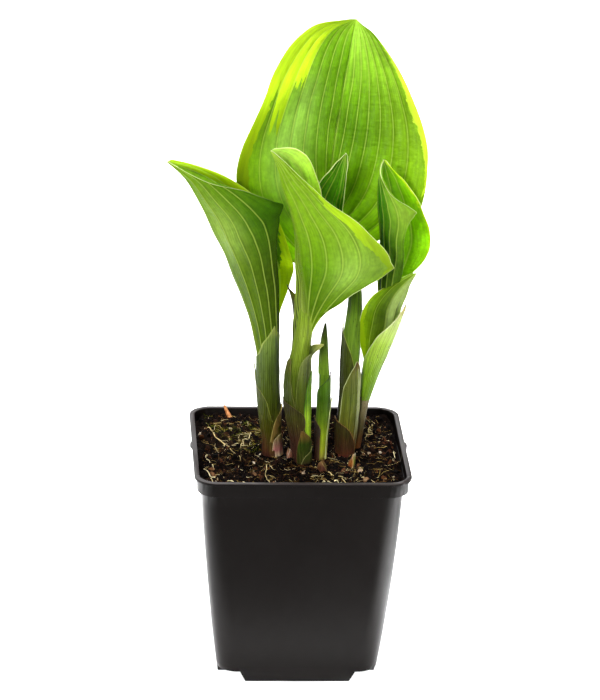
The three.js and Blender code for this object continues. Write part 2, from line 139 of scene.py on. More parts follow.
# Light: each panel has its place, the place that it is aimed at, its width, its height, its watts
# and the spread of its light in degrees
FLOOR_HALF = 6000
SKY_STRENGTH = 0.26
LIGHTS = {
    "key_panel": ((-700, -1500, 800), (0, 0, 210), 600, 500, 2.45, 40),
    "right_panel": ((1100, -900, 700), (0, 0, 200), 400, 700, 1.0, 50),
    "back_panel": ((0, 1250, 620), (0, 0, 200), 1300, 600, 5.8, 180),
    "floor_panel": ((0, 640, 1200), (0, 640, 0), 1300, 1300, 15.5, 26),
    "left_base_panel": ((-420, -10, 150), (-50, 0, 0), 120, 60, 0.08, 16),
    "right_base_panel": ((420, -10, 150), (50, 0, 0), 120, 60, 0.08, 16),
    "front_panel": ((0, -80, 600), (0, -74, 0), 300, 20, 0.06, 6),
    "edge_panel": ((230, -70, 420), (190, -70, 0), 160, 180, 0.9, 16),
    "left_edge_panel": ((-290, 20, 260), (-240, 20, 0), 160, 240, 0.3, 40),
}


def srgb(red, green, blue):
    """A screen colour, 0 to 255 a channel, in the linear light that shaders work in."""
    share = np.array([red, green, blue]) / 255
    linear = np.where(share <= 0.04045, share / 12.92, ((share + 0.055) / 1.055) ** 2.4)
    return (*linear.tolist(), 1.0)


# Curves and grids
def rail(points, places):
    """The smooth line through given points, at places from 0 at the foot to 1 at the tip."""
    known = np.array(points, float)
    if known.ndim == 1:
        return rail(known[:, None], places)[:, 0]
    line = np.vstack([2 * known[0] - known[1], known, 2 * known[-1] - known[-2]])
    place = np.clip(places, 0, 1) * (len(known) - 1)
    start = np.minimum(place.astype(int), len(known) - 2)
    t = (place - start)[:, None]
    before, here, there, after = (line[start + step] for step in range(4))
    return 0.5 * (2 * here + (there - before) * t
                  + (2 * before - 5 * here + 4 * there - after) * t ** 2
                  + (3 * here - before - 3 * there + after) * t ** 3)


def unit(vectors):
    return vectors / np.maximum(np.linalg.norm(vectors, axis=-1, keepdims=True), 1e-9)


def heading(points, places):
    """The direction in which the smooth line through the points runs."""
    return unit(rail(points, places + 1e-3) - rail(points, places - 1e-3))


def spread(values, places):
    """A number, or a run of numbers spaced evenly from the foot to the tip, at places."""
    run = np.atleast_1d(np.array(values, float))
    return np.interp(places, np.linspace(0, 1, len(run)), run)


def smooth_step(values, low, high):
    t = np.clip((values - low) / (high - low), 0, 1)
    return t * t * (3 - 2 * t)


def evened(vectors, rows):
    """A run of vectors with its sharp bends spread over a number of rows."""
    steps = np.arange(-3 * rows, 3 * rows + 1)
    weights = np.exp(-0.5 * (steps / rows) ** 2)
    longer = np.pad(vectors, ((3 * rows, 3 * rows), (0, 0)), mode="reflect", reflect_type="odd")
    return np.stack([np.convolve(longer[:, axis], weights / weights.sum(), "valid") for axis in range(3)], -1)


def ripples(seed, shortest, longest, count=24):
    """A field of crossing waves of mixed lengths, about -1 to 1, the same each time for a seed."""
    draw = np.random.default_rng(seed)
    lengths = np.exp(draw.uniform(math.log(shortest), math.log(longest), count))
    turns = draw.uniform(0, 2 * math.pi, count)
    phases = draw.uniform(0, 2 * math.pi, count)
    kx = 2 * math.pi / lengths * np.cos(turns)
    ky = 2 * math.pi / lengths * np.sin(turns)

    def field(x, y):
        x, y = np.broadcast_arrays(x, y)
        waves = np.sin(x[..., None] * kx + y[..., None] * ky + phases)
        return waves.sum(-1) / math.sqrt(count) * 1.2
    return field


def grid_quads(rows, columns):
    """The numbers of a grid's points, and the faces between them."""
    index = np.arange(rows * columns).reshape(rows, columns)
    quads = np.stack([index[:-1, :-1], index[:-1, 1:], index[1:, 1:], index[1:, :-1]], -1)
    return index, quads.reshape(-1, 4)


def two_faced_quads(rows, columns):
    """Faces of a closed sheet: an upper grid, a lower grid and the rim that joins them."""
    upper, upper_quads = grid_quads(rows, columns)
    under = rows * columns
    rim = np.concatenate([upper[0, :-1], upper[:-1, -1], upper[-1, :0:-1], upper[:0:-1, 0]])
    after = np.roll(rim, -1)
    walls = np.stack([rim + under, after + under, after, rim], -1)
    return np.concatenate([upper_quads, upper_quads[:, ::-1] + under, walls])


def ring_quads(rows, sides):
    """The numbers of the points of rings stacked upward, and the faces between the rings."""
    index = np.arange(rows * sides).reshape(rows, sides)
    after = np.roll(index, -1, axis=1)
    skin = np.stack([index[:-1], after[:-1], after[1:], index[1:]], -1)
    return index, skin.reshape(-1, 4).tolist()


def tube_quads(rows, sides):
    """Faces of a closed tube of rings stacked upward, with a point at each end."""
    index, skin = ring_quads(rows, sides)
    foot, tip = rows * sides, rows * sides + 1
    first, last = index[0].tolist(), index[-1].tolist()
    under = [[foot, b, a] for a, b in zip(first, first[1:] + first[:1])]
    over = [[tip, a, b] for a, b in zip(last, last[1:] + last[:1])]
    return skin + under + over


# Pieces
def piece_of(name, points, faces, numbers=None, **tints):
    """A mesh piece from points in millimetres, with named numbers and named tints for each point."""
    mesh = bpy.data.meshes.new(name)
    faces = faces.tolist() if isinstance(faces, np.ndarray) else faces
    mesh.from_pydata((np.asarray(points, float) * MM).tolist(), [], faces)
    for label, values in (numbers or {}).items():
        layer = mesh.attributes.new(label, "FLOAT", "POINT")
        layer.data.foreach_set("value", np.asarray(values, np.float32).ravel())
    for label, values in tints.items():
        layer = mesh.color_attributes.new(label, "FLOAT_COLOR", "POINT")
        layer.data.foreach_set("color", np.asarray(values, np.float32).ravel())
    mesh.update()
    mesh.shade_smooth()
    piece = bpy.data.objects.new(name, mesh)
    bpy.context.scene.collection.objects.link(piece)
    return piece


def dressed(piece, finish, slot, *nodes):
    """Gives a piece its finish, hangs it under the root body and hides the solids that it stands for; its slot
    is not used.
    """
    piece.data.materials.clear()
    piece.data.materials.append(finish)
    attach(piece, "root")
    if nodes:
        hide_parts(*nodes)
    return piece


def settled(piece, name):
    """A plain mesh piece with the modifiers of another worked in; the other is removed."""
    bpy.context.view_layer.update()
    shaped = piece.evaluated_get(bpy.context.evaluated_depsgraph_get())
    mesh = bpy.data.meshes.new_from_object(shaped)
    mesh.name = name
    bpy.data.objects.remove(piece)
    plain = bpy.data.objects.new(name, mesh)
    bpy.context.scene.collection.objects.link(plain)
    return plain


# Node trees
def node_in(tree, kind, inputs=None, **settings):
    """A node of a kind, its inputs joined or set, by name or by number."""
    node = tree.nodes.new(kind)
    for label, value in settings.items():
        setattr(node, label, value)
    for label, value in (inputs or {}).items():
        if isinstance(value, bpy.types.NodeSocket):
            tree.links.new(value, node.inputs[label])
        else:
            node.inputs[label].default_value = value
    return node


class Finish:
    """A surface finish that is being mixed: its colours, its grain and its gloss."""

    def __init__(self, name, **constants):
        self.material = bpy.data.materials.new(name)
        self.material.use_nodes = True
        self.tree = self.material.node_tree
        self.skin = self.tree.nodes["Principled BSDF"]
        for label, value in constants.items():
            self.skin.inputs[label.replace("_", " ")].default_value = value

    def node(self, kind, inputs=None, **settings):
        return node_in(self.tree, kind, inputs, **settings)

    def number(self, label):
        return self.node("ShaderNodeAttribute", attribute_name=label).outputs["Fac"]

    def colour(self, label):
        return self.node("ShaderNodeAttribute", attribute_name=label).outputs["Color"]

    def maths(self, operation, *values, clamp=False):
        inputs = dict(enumerate(values))
        return self.node("ShaderNodeMath", inputs, operation=operation, use_clamp=clamp).outputs[0]

    def times(self, first, second):
        return self.maths("MULTIPLY", first, second)

    def plus(self, first, second):
        return self.maths("ADD", first, second)

    def minus(self, first, second):
        return self.maths("SUBTRACT", first, second)

    def ease(self, value, low, high, start=0.0, end=1.0):
        """Start where value is under low, end where it is over high, and smooth between."""
        inputs = {"Value": value, "From Min": low, "From Max": high, "To Min": start, "To Max": end}
        return self.node("ShaderNodeMapRange", inputs, interpolation_type="SMOOTHSTEP").outputs[0]

    def blend(self, share, first, second, mode="MIX"):
        inputs = {0: share, 6: first, 7: second}
        return self.node("ShaderNodeMix", inputs, data_type="RGBA", blend_type=mode).outputs[2]

    def place(self, stretch=(1, 1, 1)):
        """Where a point lies on the part, stretched along each axis."""
        here = self.node("ShaderNodeTexCoord").outputs["Object"]
        return self.node("ShaderNodeMapping", {"Vector": here, "Scale": stretch}).outputs[0]

    def height(self):
        """How high a point lies on the part, in metres."""
        return self.node("ShaderNodeSeparateXYZ", {0: self.place()}).outputs[2]

    def joined(self, x, y):
        return self.node("ShaderNodeCombineXYZ", {0: x, 1: y}).outputs[0]

    def noise(self, where, scale, detail=3.0, roughness=0.55):
        inputs = {"Vector": where, "Scale": scale, "Detail": detail, "Roughness": roughness}
        return self.node("ShaderNodeTexNoise", inputs).outputs["Fac"]

    def scaled(self, colour, factor):
        inputs = {0: colour, "Scale": factor}
        return self.node("ShaderNodeVectorMath", inputs, operation="SCALE").outputs[0]

    def shaded(self, colour, *fields):
        """A colour made darker or lighter by fields, each as (field, low, high, factor at or under
        low, factor at or over high)."""
        for field in fields:
            colour = self.scaled(colour, self.ease(*field))
        return colour

    def relief(self, height, distance, under=None):
        """Fine bumps of a height, distance in metres; under is the relief that it adds to."""
        inputs = {"Height": height, "Distance": distance, "Strength": 1.0}
        if under is not None:
            inputs["Normal"] = under
        return self.node("ShaderNodeBump", inputs).outputs[0]

    def wear(self, **sockets):
        for label, value in sockets.items():
            self.tree.links.new(value, self.skin.inputs[label.replace("_", " ")])
        return self

    def glow_through(self, colour, share):
        """Lets light through from behind, in a colour, for a share of the surface."""
        through = self.node("ShaderNodeBsdfTranslucent", {"Color": colour})
        inputs = {0: share, 1: self.skin.outputs[0], 2: through.outputs[0]}
        mixed = self.node("ShaderNodeMixShader", inputs)
        self.tree.links.new(mixed.outputs[0], self.tree.nodes["Material Output"].inputs["Surface"])
        return self


# Finishes
GOLD = [(0, (180, 212, 8)), (1, (214, 240, 30))]
CREAM = srgb(232, 240, 170)
PALE_VEIN = srgb(190, 216, 88)


def lamina_finish():
    """Leaf skin: pale veins with painted shade beside them, a jagged yellow border, a thin cream margin and
    fine cross ripples.
    """
    finish = Finish("leaf_lamina", Specular_IOR_Level=0.08)
    lane = finish.number("lane")
    run = finish.number("run")
    strip = finish.number("strip_width")
    from_edge = finish.number("from_edge")

    def off_line(count):
        """How far, in mm, a point lies from the nearest of the lines between the veins."""
        line = finish.times(lane, float(count))
        off = finish.maths("ABSOLUTE", finish.minus(line, finish.maths("ROUND", line)))
        return finish.times(off, finish.maths("DIVIDE", strip, float(count)))

    off_vein = off_line(1)
    inside = finish.ease(from_edge, 0.3, 1.2)
    past_vein = finish.minus(off_vein, finish.number("vein_width"))
    vein = finish.times(finish.ease(past_vein, -0.15, 0.15, 1.0, 0.0), inside)
    # painted shade: a band beside each vein, where the groove between the pillows lies in shade
    vein_groove_shade = finish.times(finish.ease(past_vein, 0.0, 1.2, 1.0, 0.0), inside)
    veinlet = finish.ease(off_line(5), 0.02, 0.2, 1.0, 0.0)
    past_midrib = finish.minus(finish.number("from_midrib"), finish.number("midrib_width"))
    midrib = finish.ease(past_midrib, -0.35, 0.35, 1.0, 0.0)

    grain = finish.noise(finish.place(), 420, 4)
    blotch = finish.noise(finish.place(), 40, 3)
    across = finish.times(lane, 2.6)
    streak = finish.noise(finish.joined(across, finish.times(run, 0.04)), 2.2, 3)

    teeth_place = finish.joined(finish.times(lane, 5.0), finish.times(run, 0.03))
    teeth = finish.times(finish.minus(finish.noise(teeth_place, 1.0, 3), 0.5), 30.0)
    nibble_place = finish.joined(finish.times(from_edge, 0.5), finish.times(run, 0.2))
    nibble = finish.times(finish.minus(finish.noise(nibble_place, 1.0, 4, 0.65), 0.5), 6.0)
    band = finish.plus(finish.number("gold_band"), nibble)
    strips = finish.plus(finish.number("gold_strips"), teeth)
    gold = finish.ease(finish.maths("MAXIMUM", band, strips), -0.12, 0.12)

    green = finish.shaded(finish.colour("tint"), (blotch, 0.3, 0.7, 0.95, 1.05),
                          (streak, 0.25, 0.75, 0.84, 1.14), (grain, 0.3, 0.7, 0.9, 1.1))
    # the painted groove shade darkens the green by up to a fifth beside each vein
    green = finish.scaled(green, finish.minus(1.0, finish.times(vein_groove_shade, 0.22)))
    green = finish.scaled(green, finish.plus(1.0, finish.times(veinlet, 0.1)))
    yellow = finish.scaled(finish.colour("edge_tint"), finish.ease(streak, 0.3, 0.7, 1.06, 0.86))
    yellow = finish.blend(finish.ease(blotch, 0.45, 0.8, 0.0, 0.4), yellow, finish.colour("tint"))
    skin = finish.blend(gold, green, yellow)
    vein_colour = finish.blend(0.7, finish.colour("tint"), PALE_VEIN)
    line = finish.maths("MAXIMUM", finish.times(vein, 0.62), finish.times(midrib, 0.3))
    skin = finish.blend(line, skin, vein_colour)
    cream = finish.number("cream_width")
    rim = finish.ease(finish.minus(from_edge, cream), 0.0, 0.25, 1.0, 0.0)
    skin = finish.blend(finish.times(rim, finish.ease(cream, 0.02, 0.12, 0.0, 0.9)), skin, CREAM)

    ripple_place = finish.joined(finish.times(finish.times(lane, strip), 0.22), run)
    ripple = finish.noise(ripple_place, 0.5, 3)
    relief = finish.relief(ripple, 0.0007)
    relief = finish.relief(veinlet, 0.00006, relief)
    relief = finish.relief(grain, 0.00005, relief)
    finish.wear(Base_Color=skin, Normal=relief, Roughness=finish.ease(grain, 0.2, 0.8, 0.34, 0.46))
    lit = finish.blend(1.0, skin, (1.0, 1.0, 0.4, 1.0), "MULTIPLY")
    return finish.glow_through(lit, 0.4).material


def stem_finish():
    """Skin of stems, sheaths and buds: lengthwise streaks, fine ribs and a purple blush below."""
    finish = Finish("stem_skin", Specular_IOR_Level=0.12)
    height = finish.height()
    lane = finish.number("lane")
    streak = finish.noise(finish.joined(lane, finish.times(height, 30.0)), 1.1, 4, 0.6)
    wide = finish.noise(finish.joined(lane, finish.times(height, 60.0)), 0.35, 3)
    cloud = finish.noise(finish.place((1, 1, 0.5)), 150, 4)
    speck = finish.noise(finish.place((1, 1, 0.6)), 1100, 2)
    ribs = finish.maths("SINE", finish.times(lane, 2 * math.pi))
    blush = finish.maths("MULTIPLY", finish.number("blush"), finish.ease(cloud, 0.36, 0.6), clamp=True)

    skin = finish.shaded(finish.colour("tint"), (streak, 0.3, 0.7, 0.72, 1.28), (wide, 0.32, 0.68, 0.76, 1.22),
                         (cloud, 0.3, 0.7, 0.9, 1.08), (ribs, -1.0, 1.0, 0.9, 1.07))
    skin = finish.blend(finish.times(blush, 0.72), skin, srgb(74, 34, 30))
    skin = finish.blend(finish.ease(speck, 0.64, 0.72, 0.0, 0.5), skin, srgb(50, 36, 14))
    edge = finish.ease(finish.number("from_edge"), -0.2, 0.25, 1.0, 0.0)
    edge = finish.times(edge, finish.ease(streak, 0.3, 0.6, 0.35, 0.85))
    skin = finish.blend(edge, skin, finish.colour("edge_tint"))
    relief = finish.relief(streak, 0.0005)
    relief = finish.relief(ribs, 0.00012, relief)
    finish.wear(Base_Color=skin, Normal=relief, Roughness=finish.ease(speck, 0.2, 0.8, 0.34, 0.5))
    return finish.glow_through(skin, 0.16).material


def pot_finish():
    """Satin black moulded plastic with faint flow marks, fine scuffs and a painted highlight: a paler band
    along the top of the lip.
    """
    finish = Finish("pot_plastic", Specular_IOR_Level=0.11)
    cloud = finish.noise(finish.place(), 22, 4)
    flow = finish.noise(finish.place((1, 1, 0.12)), 120, 3)
    grit = finish.noise(finish.place(), 1500, 2)
    scuff = finish.noise(finish.place((1, 1, 14)), 60, 5, 0.7)
    base = finish.blend(finish.ease(cloud, 0.3, 0.7), srgb(7, 4, 3), srgb(10, 7, 6))
    base = finish.blend(finish.ease(scuff, 0.68, 0.8, 0.0, 0.1), base, srgb(90, 86, 80))
    # painted highlight: the top half millimetre of the lip turns a paler grey, for the light that its rounded
    # top catches
    painted_lip_highlight = finish.ease(finish.height(), (POT_HEIGHT - 0.6) * MM, (POT_HEIGHT - 0.1) * MM)
    base = finish.blend(painted_lip_highlight, base, srgb(42, 37, 36))
    gloss = finish.plus(finish.ease(flow, 0.25, 0.75, 0.3, 0.38), finish.ease(scuff, 0.6, 0.8, 0.0, 0.1))
    relief = finish.relief(grit, 0.00002)
    relief = finish.relief(flow, 0.00008, relief)
    return finish.wear(Base_Color=base, Roughness=gloss, Normal=relief).material


def soil_finish():
    """Damp peat: nearly black, with browner lumps and a wet glint here and there."""
    finish = Finish("soil_bed", Specular_IOR_Level=0.01)
    lump = finish.noise(finish.place(), 420, 5, 0.65)
    patch = finish.noise(finish.place(), 60, 3)
    base = finish.blend(finish.ease(lump, 0.35, 0.7), srgb(4, 3, 2), srgb(20, 13, 10))
    base = finish.blend(finish.ease(patch, 0.45, 0.7, 0.0, 0.5), base, srgb(14, 10, 11))
    gloss = finish.ease(patch, 0.35, 0.65, 0.5, 0.9)
    return finish.wear(Base_Color=base, Roughness=gloss, Normal=finish.relief(lump, 0.0014)).material


def litter_finish(name, stops, gloss=(0.5, 0.85), grain=700):
    """Loose bits of the soil, each bit with its own shade between the stops."""
    finish = Finish(name, Specular_IOR_Level=0.03)
    ramp = finish.node("ShaderNodeValToRGB", {0: finish.number("shade")})
    while len(ramp.color_ramp.elements) < len(stops):
        ramp.color_ramp.elements.new(0.5)
    for element, (place, colour) in zip(ramp.color_ramp.elements, stops):
        element.position = place
        element.color = srgb(*colour)
    mottle = finish.noise(finish.place(), grain, 3)
    base = finish.scaled(ramp.outputs[0], finish.ease(mottle, 0.3, 0.7, 0.55, 1.35))
    rough = finish.ease(mottle, 0.3, 0.7, *gloss)
    return finish.wear(Base_Color=base, Roughness=rough, Normal=finish.relief(mottle, 0.0004)).material


def twig_finish():
    """A dry split twig: tan wood with orange-brown bark streaks along it."""
    finish = Finish("twig_wood", Specular_IOR_Level=0.15)
    streak = finish.noise(finish.place((1, 1, 0.15)), 900, 4)
    base = finish.blend(finish.ease(streak, 0.35, 0.65), srgb(120, 62, 28), srgb(190, 132, 84))
    rough = finish.ease(streak, 0.3, 0.7, 0.6, 0.85)
    return finish.wear(Base_Color=base, Roughness=rough, Normal=finish.relief(streak, 0.0006)).material


# Pot
def ring_of(half, radius, z, side_steps=1, corner_steps=CORNER_STEPS):
    """A rounded square, anticlockwise from above, its sides and corners in even steps."""
    def corner_arc(start, turns):
        centre = (half - radius) * np.sign([math.cos(start + math.pi / 4), math.sin(start + math.pi / 4)])
        return centre + radius * np.stack([np.cos(start + turns), np.sin(start + turns)], -1)

    points = []
    for start in np.arange(4) * math.pi / 2:
        points.extend(corner_arc(start, np.linspace(0, math.pi / 2, corner_steps + 1)))
        end, goal = points[-1], corner_arc(start + math.pi / 2, 0)
        points.extend(end + (goal - end) * step / side_steps for step in range(1, side_steps))
    flat = np.array(points)
    return np.column_stack([flat, np.full(len(flat), float(z))])


def body_half(z):
    """Half the tub's width at a height; its sides are a little bellied."""
    rise = z / (POT_HEIGHT - BAND_HEIGHT)
    belly = BODY_BELLY * 4 * rise * (1 - rise)
    return (BODY_BOTTOM_WIDTH + (BODY_TOP_WIDTH - BODY_BOTTOM_WIDTH) * rise) / 2 + belly


def body_ring(z, inset, **steps):
    return ring_of(body_half(z) - inset, BODY_CORNER_RADIUS - inset, z, **steps)


def band_ring(z, inset, **steps):
    return ring_of(BAND_WIDTH / 2 - inset, BODY_CORNER_RADIUS - inset, z, **steps)


def stacked(name, rings):
    """A closed solid over rings of equal count, stacked upward."""
    index, skin = ring_quads(len(rings), len(rings[0]))
    faces = skin + [index[0, ::-1].tolist(), index[-1].tolist()]
    return piece_of(name, np.concatenate(rings), faces)


def raised_corners(margin):
    """The four blocks that the foot leaves out at its corners."""
    blocks = []
    for sx, sy in ((1, 1), (-1, 1), (-1, -1), (1, -1)):
        rings = []
        for inner, z in ((FOOT_HALF_BOTTOM - margin, -CUT_PAST),
                         (FOOT_HALF_TOP - margin, FOOT_HEIGHT + margin)):
            xs = sorted((sx * inner, sx * BODY_BOTTOM_WIDTH))
            ys = sorted((sy * inner, sy * BODY_BOTTOM_WIDTH))
            rings.append(np.array([(xs[0], ys[0], z), (xs[1], ys[0], z), (xs[1], ys[1], z), (xs[0], ys[1], z)]))
        blocks.append(stacked("corner_block", rings))
    return blocks


def cut_or_joined(piece, others, operation):
    """Works other solids into a piece, one after the other, and removes them."""
    for other in others:
        step = piece.modifiers.new("shaping", "BOOLEAN")
        step.operation = operation
        step.solver = "EXACT"
        step.object = other
        piece = settled(piece, piece.name.split(".")[0])
        bpy.data.objects.remove(other)
    return piece


def upright(name, radius, x, y, low, high, sides):
    """An upright round bar."""
    angles = np.arange(sides) * 2 * math.pi / sides
    flat = np.stack([x + radius * np.cos(angles), y + radius * np.sin(angles)], -1)
    return stacked(name, [np.column_stack([flat, np.full(sides, float(z))]) for z in (low, high)])


def make_pot(finish):
    """The tub with its band, lip, tabs, raised corners and drains, every sharp edge rounded."""
    shoulder = POT_HEIGHT - BAND_HEIGHT
    lip_underside = POT_HEIGHT - LIP_THICKNESS
    heights = np.linspace(0, shoulder, BODY_RINGS)
    rings = [body_ring(z, 0) for z in heights]
    rings += [band_ring(shoulder, 0), band_ring(lip_underside, 0)]
    rings += [ring_of(LIP_WIDTH / 2, LIP_CORNER_RADIUS, z) for z in (lip_underside, POT_HEIGHT)]
    pot = stacked("pot_shell", rings)
    run = np.linspace(-1, 1, 15)
    arch = (0.5 + 0.5 * np.cos(math.pi * run)) ** LIP_TAB_FULLNESS
    swell = LIP_WIDTH / 2 - LIP_TAB_SUNK + (LIP_TAB_REACH + LIP_TAB_SUNK) * arch
    back = LIP_WIDTH / 2 - LIP_TAB_REACH
    outline = [*zip(swell, LIP_TAB_HALF_LENGTH * run),
               (back, LIP_TAB_HALF_LENGTH), (back, -LIP_TAB_HALF_LENGTH)]
    tabs = [stacked("lip_tab", [np.array([(side * x, side * y, z) for x, y in outline])
                                for z in (lip_underside, POT_HEIGHT)])
            for side in (-1, 1)]
    pot = cut_or_joined(pot, tabs, "UNION")

    ledge = shoulder + WALL
    inner = [body_ring(z, WALL) for z in np.linspace(WALL, ledge, BODY_RINGS)]
    inner += [band_ring(ledge, WALL), band_ring(POT_HEIGHT + CUT_PAST, WALL)]
    room = cut_or_joined(stacked("room", inner), raised_corners(WALL), "DIFFERENCE")
    drains = [upright("drain", DRAIN_RADIUS, sx * DRAIN_PLACE, sy * DRAIN_PLACE, -CUT_PAST,
                      FOOT_HEIGHT + WALL + CUT_PAST, DRAIN_SIDES)
              for sx in (-1, 1) for sy in (-1, 1)]
    pot = cut_or_joined(pot, [room, *raised_corners(0), *drains], "DIFFERENCE")

    rounding = pot.modifiers.new("rounding", "BEVEL")
    rounding.width = EDGE_ROUNDING * MM
    rounding.segments = 3
    rounding.limit_method = "ANGLE"
    rounding.angle_limit = math.radians(35)
    rounding.harden_normals = True
    pot = settled(pot, "pot_shell")
    pot.data.shade_smooth()
    pot.data.set_sharp_from_angle(angle=math.radians(50))
    return dressed(pot, finish, "pot_plastic", "pot")


# Soil
soil_crumble = ripples(7, 2.2, 9)


def soil_height(x, y):
    """The soil's lumpy surface, banked up towards the back."""
    lumps = sum(strength * np.sin(kx * x + ky * y + phase) for strength, kx, ky, phase in SOIL_WAVES)
    bank = SOIL_BANK_RISE * np.maximum(0, 2 * y / BAND_WIDTH) ** 2
    return SOIL_HEIGHT + SOIL_ROUGHNESS * lumps + bank


def bed_height(x, y):
    """The soil's surface, crumbly, and a little lower along the walls."""
    wall_distance = BAND_WIDTH / 2 - WALL - np.maximum(np.abs(x), np.abs(y))
    drop = SOIL_EDGE_DROP * smooth_step(wall_distance, SOIL_EDGE_REACH, 0)
    return soil_height(x, y) + CRUMBLE * soil_crumble(x, y) - drop


def bed_rings(half, radius, rings):
    """Rings of surface points from the middle of the bed out to half its width."""
    made = []
    for step in range(1, rings + 1):
        share = step / rings
        ring = ring_of(half * share, radius * share, 0, **BED_STEPS)
        ring[:, 2] = bed_height(ring[:, 0], ring[:, 1])
        made.append(ring)
    return made


def make_soil(finish):
    """The bed of peat: its surface, its walls inside the pot and its flat floor."""
    inset = WALL + CLEARANCE
    surface = bed_rings(BAND_WIDTH / 2 - inset, BODY_CORNER_RADIUS - inset, SOIL_RINGS)
    ledge = POT_HEIGHT - BAND_HEIGHT + inset
    walls = [band_ring(ledge, inset, **BED_STEPS)]
    walls += [body_ring(z, inset, **BED_STEPS) for z in np.linspace(ledge, SOIL_FLOOR, BED_WALL_RINGS)]
    rings = walls[::-1] + surface[::-1]
    middle = (0, 0, float(bed_height(np.array(0.0), np.array(0.0))))
    points = np.vstack([*rings, (0, 0, SOIL_FLOOR), middle])
    bed = piece_of("soil_bed", points, tube_quads(len(rings), len(rings[0])))
    return dressed(bed, finish, "soil", "soil")


def scatter_ground(name, keep):
    """The part of the soil's surface where keep(x, y) is true, as a sheet to scatter on."""
    steps = np.arange(-SCATTER_HALF, SCATTER_HALF + 0.01, GROUND_STEP)
    x, y = np.meshgrid(steps, steps)
    corner = SCATTER_HALF - BODY_CORNER_RADIUS
    over = np.hypot(np.maximum(np.abs(x) - corner, 0), np.maximum(np.abs(y) - corner, 0))
    points = np.stack([x, y, bed_height(x, y)], -1).reshape(-1, 3)
    _, quads = grid_quads(len(steps), len(steps))
    good = (over < BODY_CORNER_RADIUS) & keep(x, y)
    return piece_of(name, points, quads[good.ravel()[quads].all(1)])


class Scatter:
    """A node tree that strews copies over a ground sheet, with named inputs for its sizes."""

    def __init__(self, name, inputs):
        self.tree = bpy.data.node_groups.new(name, "GeometryNodeTree")
        face = self.tree.interface
        face.new_socket("Geometry", in_out="INPUT", socket_type="NodeSocketGeometry")
        face.new_socket("Geometry", in_out="OUTPUT", socket_type="NodeSocketGeometry")
        self.sockets = {}
        for label, kind in inputs.items():
            self.sockets[label] = face.new_socket(label, in_out="INPUT", socket_type=kind).identifier
        self.source = self.tree.nodes.new("NodeGroupInput")
        self.result = self.tree.nodes.new("NodeGroupOutput")

    def __getitem__(self, label):
        return self.source.outputs[label]

    def node(self, kind, inputs=None, **settings):
        return node_in(self.tree, kind, inputs, **settings)

    def maths(self, operation, *values):
        return self.node("ShaderNodeMath", dict(enumerate(values)), operation=operation).outputs[0]

    def draw(self, low, high, seed):
        """A random number for each copy."""
        inputs = {2: low, 3: high, "Seed": seed}
        return self.node("FunctionNodeRandomValue", inputs, data_type="FLOAT").outputs[1]

    def draw_vector(self, low, high, seed):
        inputs = {0: low, 1: high, "Seed": seed}
        return self.node("FunctionNodeRandomValue", inputs, data_type="FLOAT_VECTOR").outputs[0]

    def strewn(self, copy, scale, rotation):
        """Copies on random points of the ground, each with a random shade from 0 to 1."""
        ground = self.node("GeometryNodeDistributePointsOnFaces",
                           {"Mesh": self["Geometry"], "Density": self["Density"], "Seed": self["Seed"]},
                           distribute_method="RANDOM")
        copies = self.node("GeometryNodeInstanceOnPoints",
                           {"Points": ground.outputs["Points"], "Instance": copy, "Rotation": rotation,
                            "Scale": scale})
        marked = self.node("GeometryNodeStoreNamedAttribute",
                           {"Geometry": copies.outputs[0], "Name": "shade", "Value": self.draw(0.0, 1.0, 5)},
                           data_type="FLOAT", domain="INSTANCE")
        return self.node("GeometryNodeRealizeInstances", {"Geometry": marked.outputs[0]}).outputs[0]

    def bent(self, geometry, scale, strength, detail=2.0):
        """Moves points by a field of noise, so that no two copies are alike."""
        here = self.node("GeometryNodeInputPosition").outputs[0]
        cloud = self.node("ShaderNodeTexNoise", {"Vector": here, "Scale": scale, "Detail": detail})
        centred = self.node("ShaderNodeVectorMath", {0: cloud.outputs["Color"], 1: (0.5, 0.5, 0.5)},
                            operation="SUBTRACT").outputs[0]
        shift = self.node("ShaderNodeVectorMath", {0: centred, "Scale": strength}, operation="SCALE").outputs[0]
        return self.node("GeometryNodeSetPosition", {"Geometry": geometry, "Offset": shift}).outputs[0]

    def close(self, geometry):
        """Ends the tree with its material."""
        coated = self.node("GeometryNodeSetMaterial", {"Geometry": geometry, "Material": self["Finish"]})
        self.tree.links.new(coated.outputs[0], self.result.inputs[0])
        return self

    def run(self, name, ground, **values):
        """The strewn copies as a plain mesh piece. The ground sheet is used up."""
        step = ground.modifiers.new("strewing", "NODES")
        step.node_group = self.tree
        for label, value in values.items():
            step[self.sockets[label.replace("_", " ")]] = value
        return settled(ground, name)


SIZES = {"Density": "NodeSocketFloat", "Seed": "NodeSocketInt", "Smallest": "NodeSocketFloat",
         "Largest": "NodeSocketFloat", "Roughness": "NodeSocketFloat", "Finish": "NodeSocketMaterial"}


def crumb_tree(detail):
    """Rough grains and clods, longer than thick, half sunk where they lie."""
    tree = Scatter("crumbs", SIZES)
    grain = tree.node("GeometryNodeMeshIcoSphere", {"Radius": 1.0, "Subdivisions": detail}).outputs[0]
    share = tree.maths("POWER", tree.draw(0.0, 1.0, 1), 2.5)
    growth = tree.maths("MULTIPLY", share, tree.maths("SUBTRACT", tree["Largest"], tree["Smallest"]))
    size = tree.maths("ADD", tree["Smallest"], growth)
    form = tree.draw_vector((0.6, 0.45, 0.35), (1.5, 1.0, 0.8), 2)
    scale = tree.node("ShaderNodeVectorMath", {0: form, "Scale": size}, operation="SCALE").outputs[0]
    turned = tree.draw_vector((0, 0, 0), (6.28, 6.28, 6.28), 3)
    strewn = tree.strewn(grain, scale, turned)
    return tree.close(tree.bent(strewn, 900.0, tree["Roughness"], 3.0))


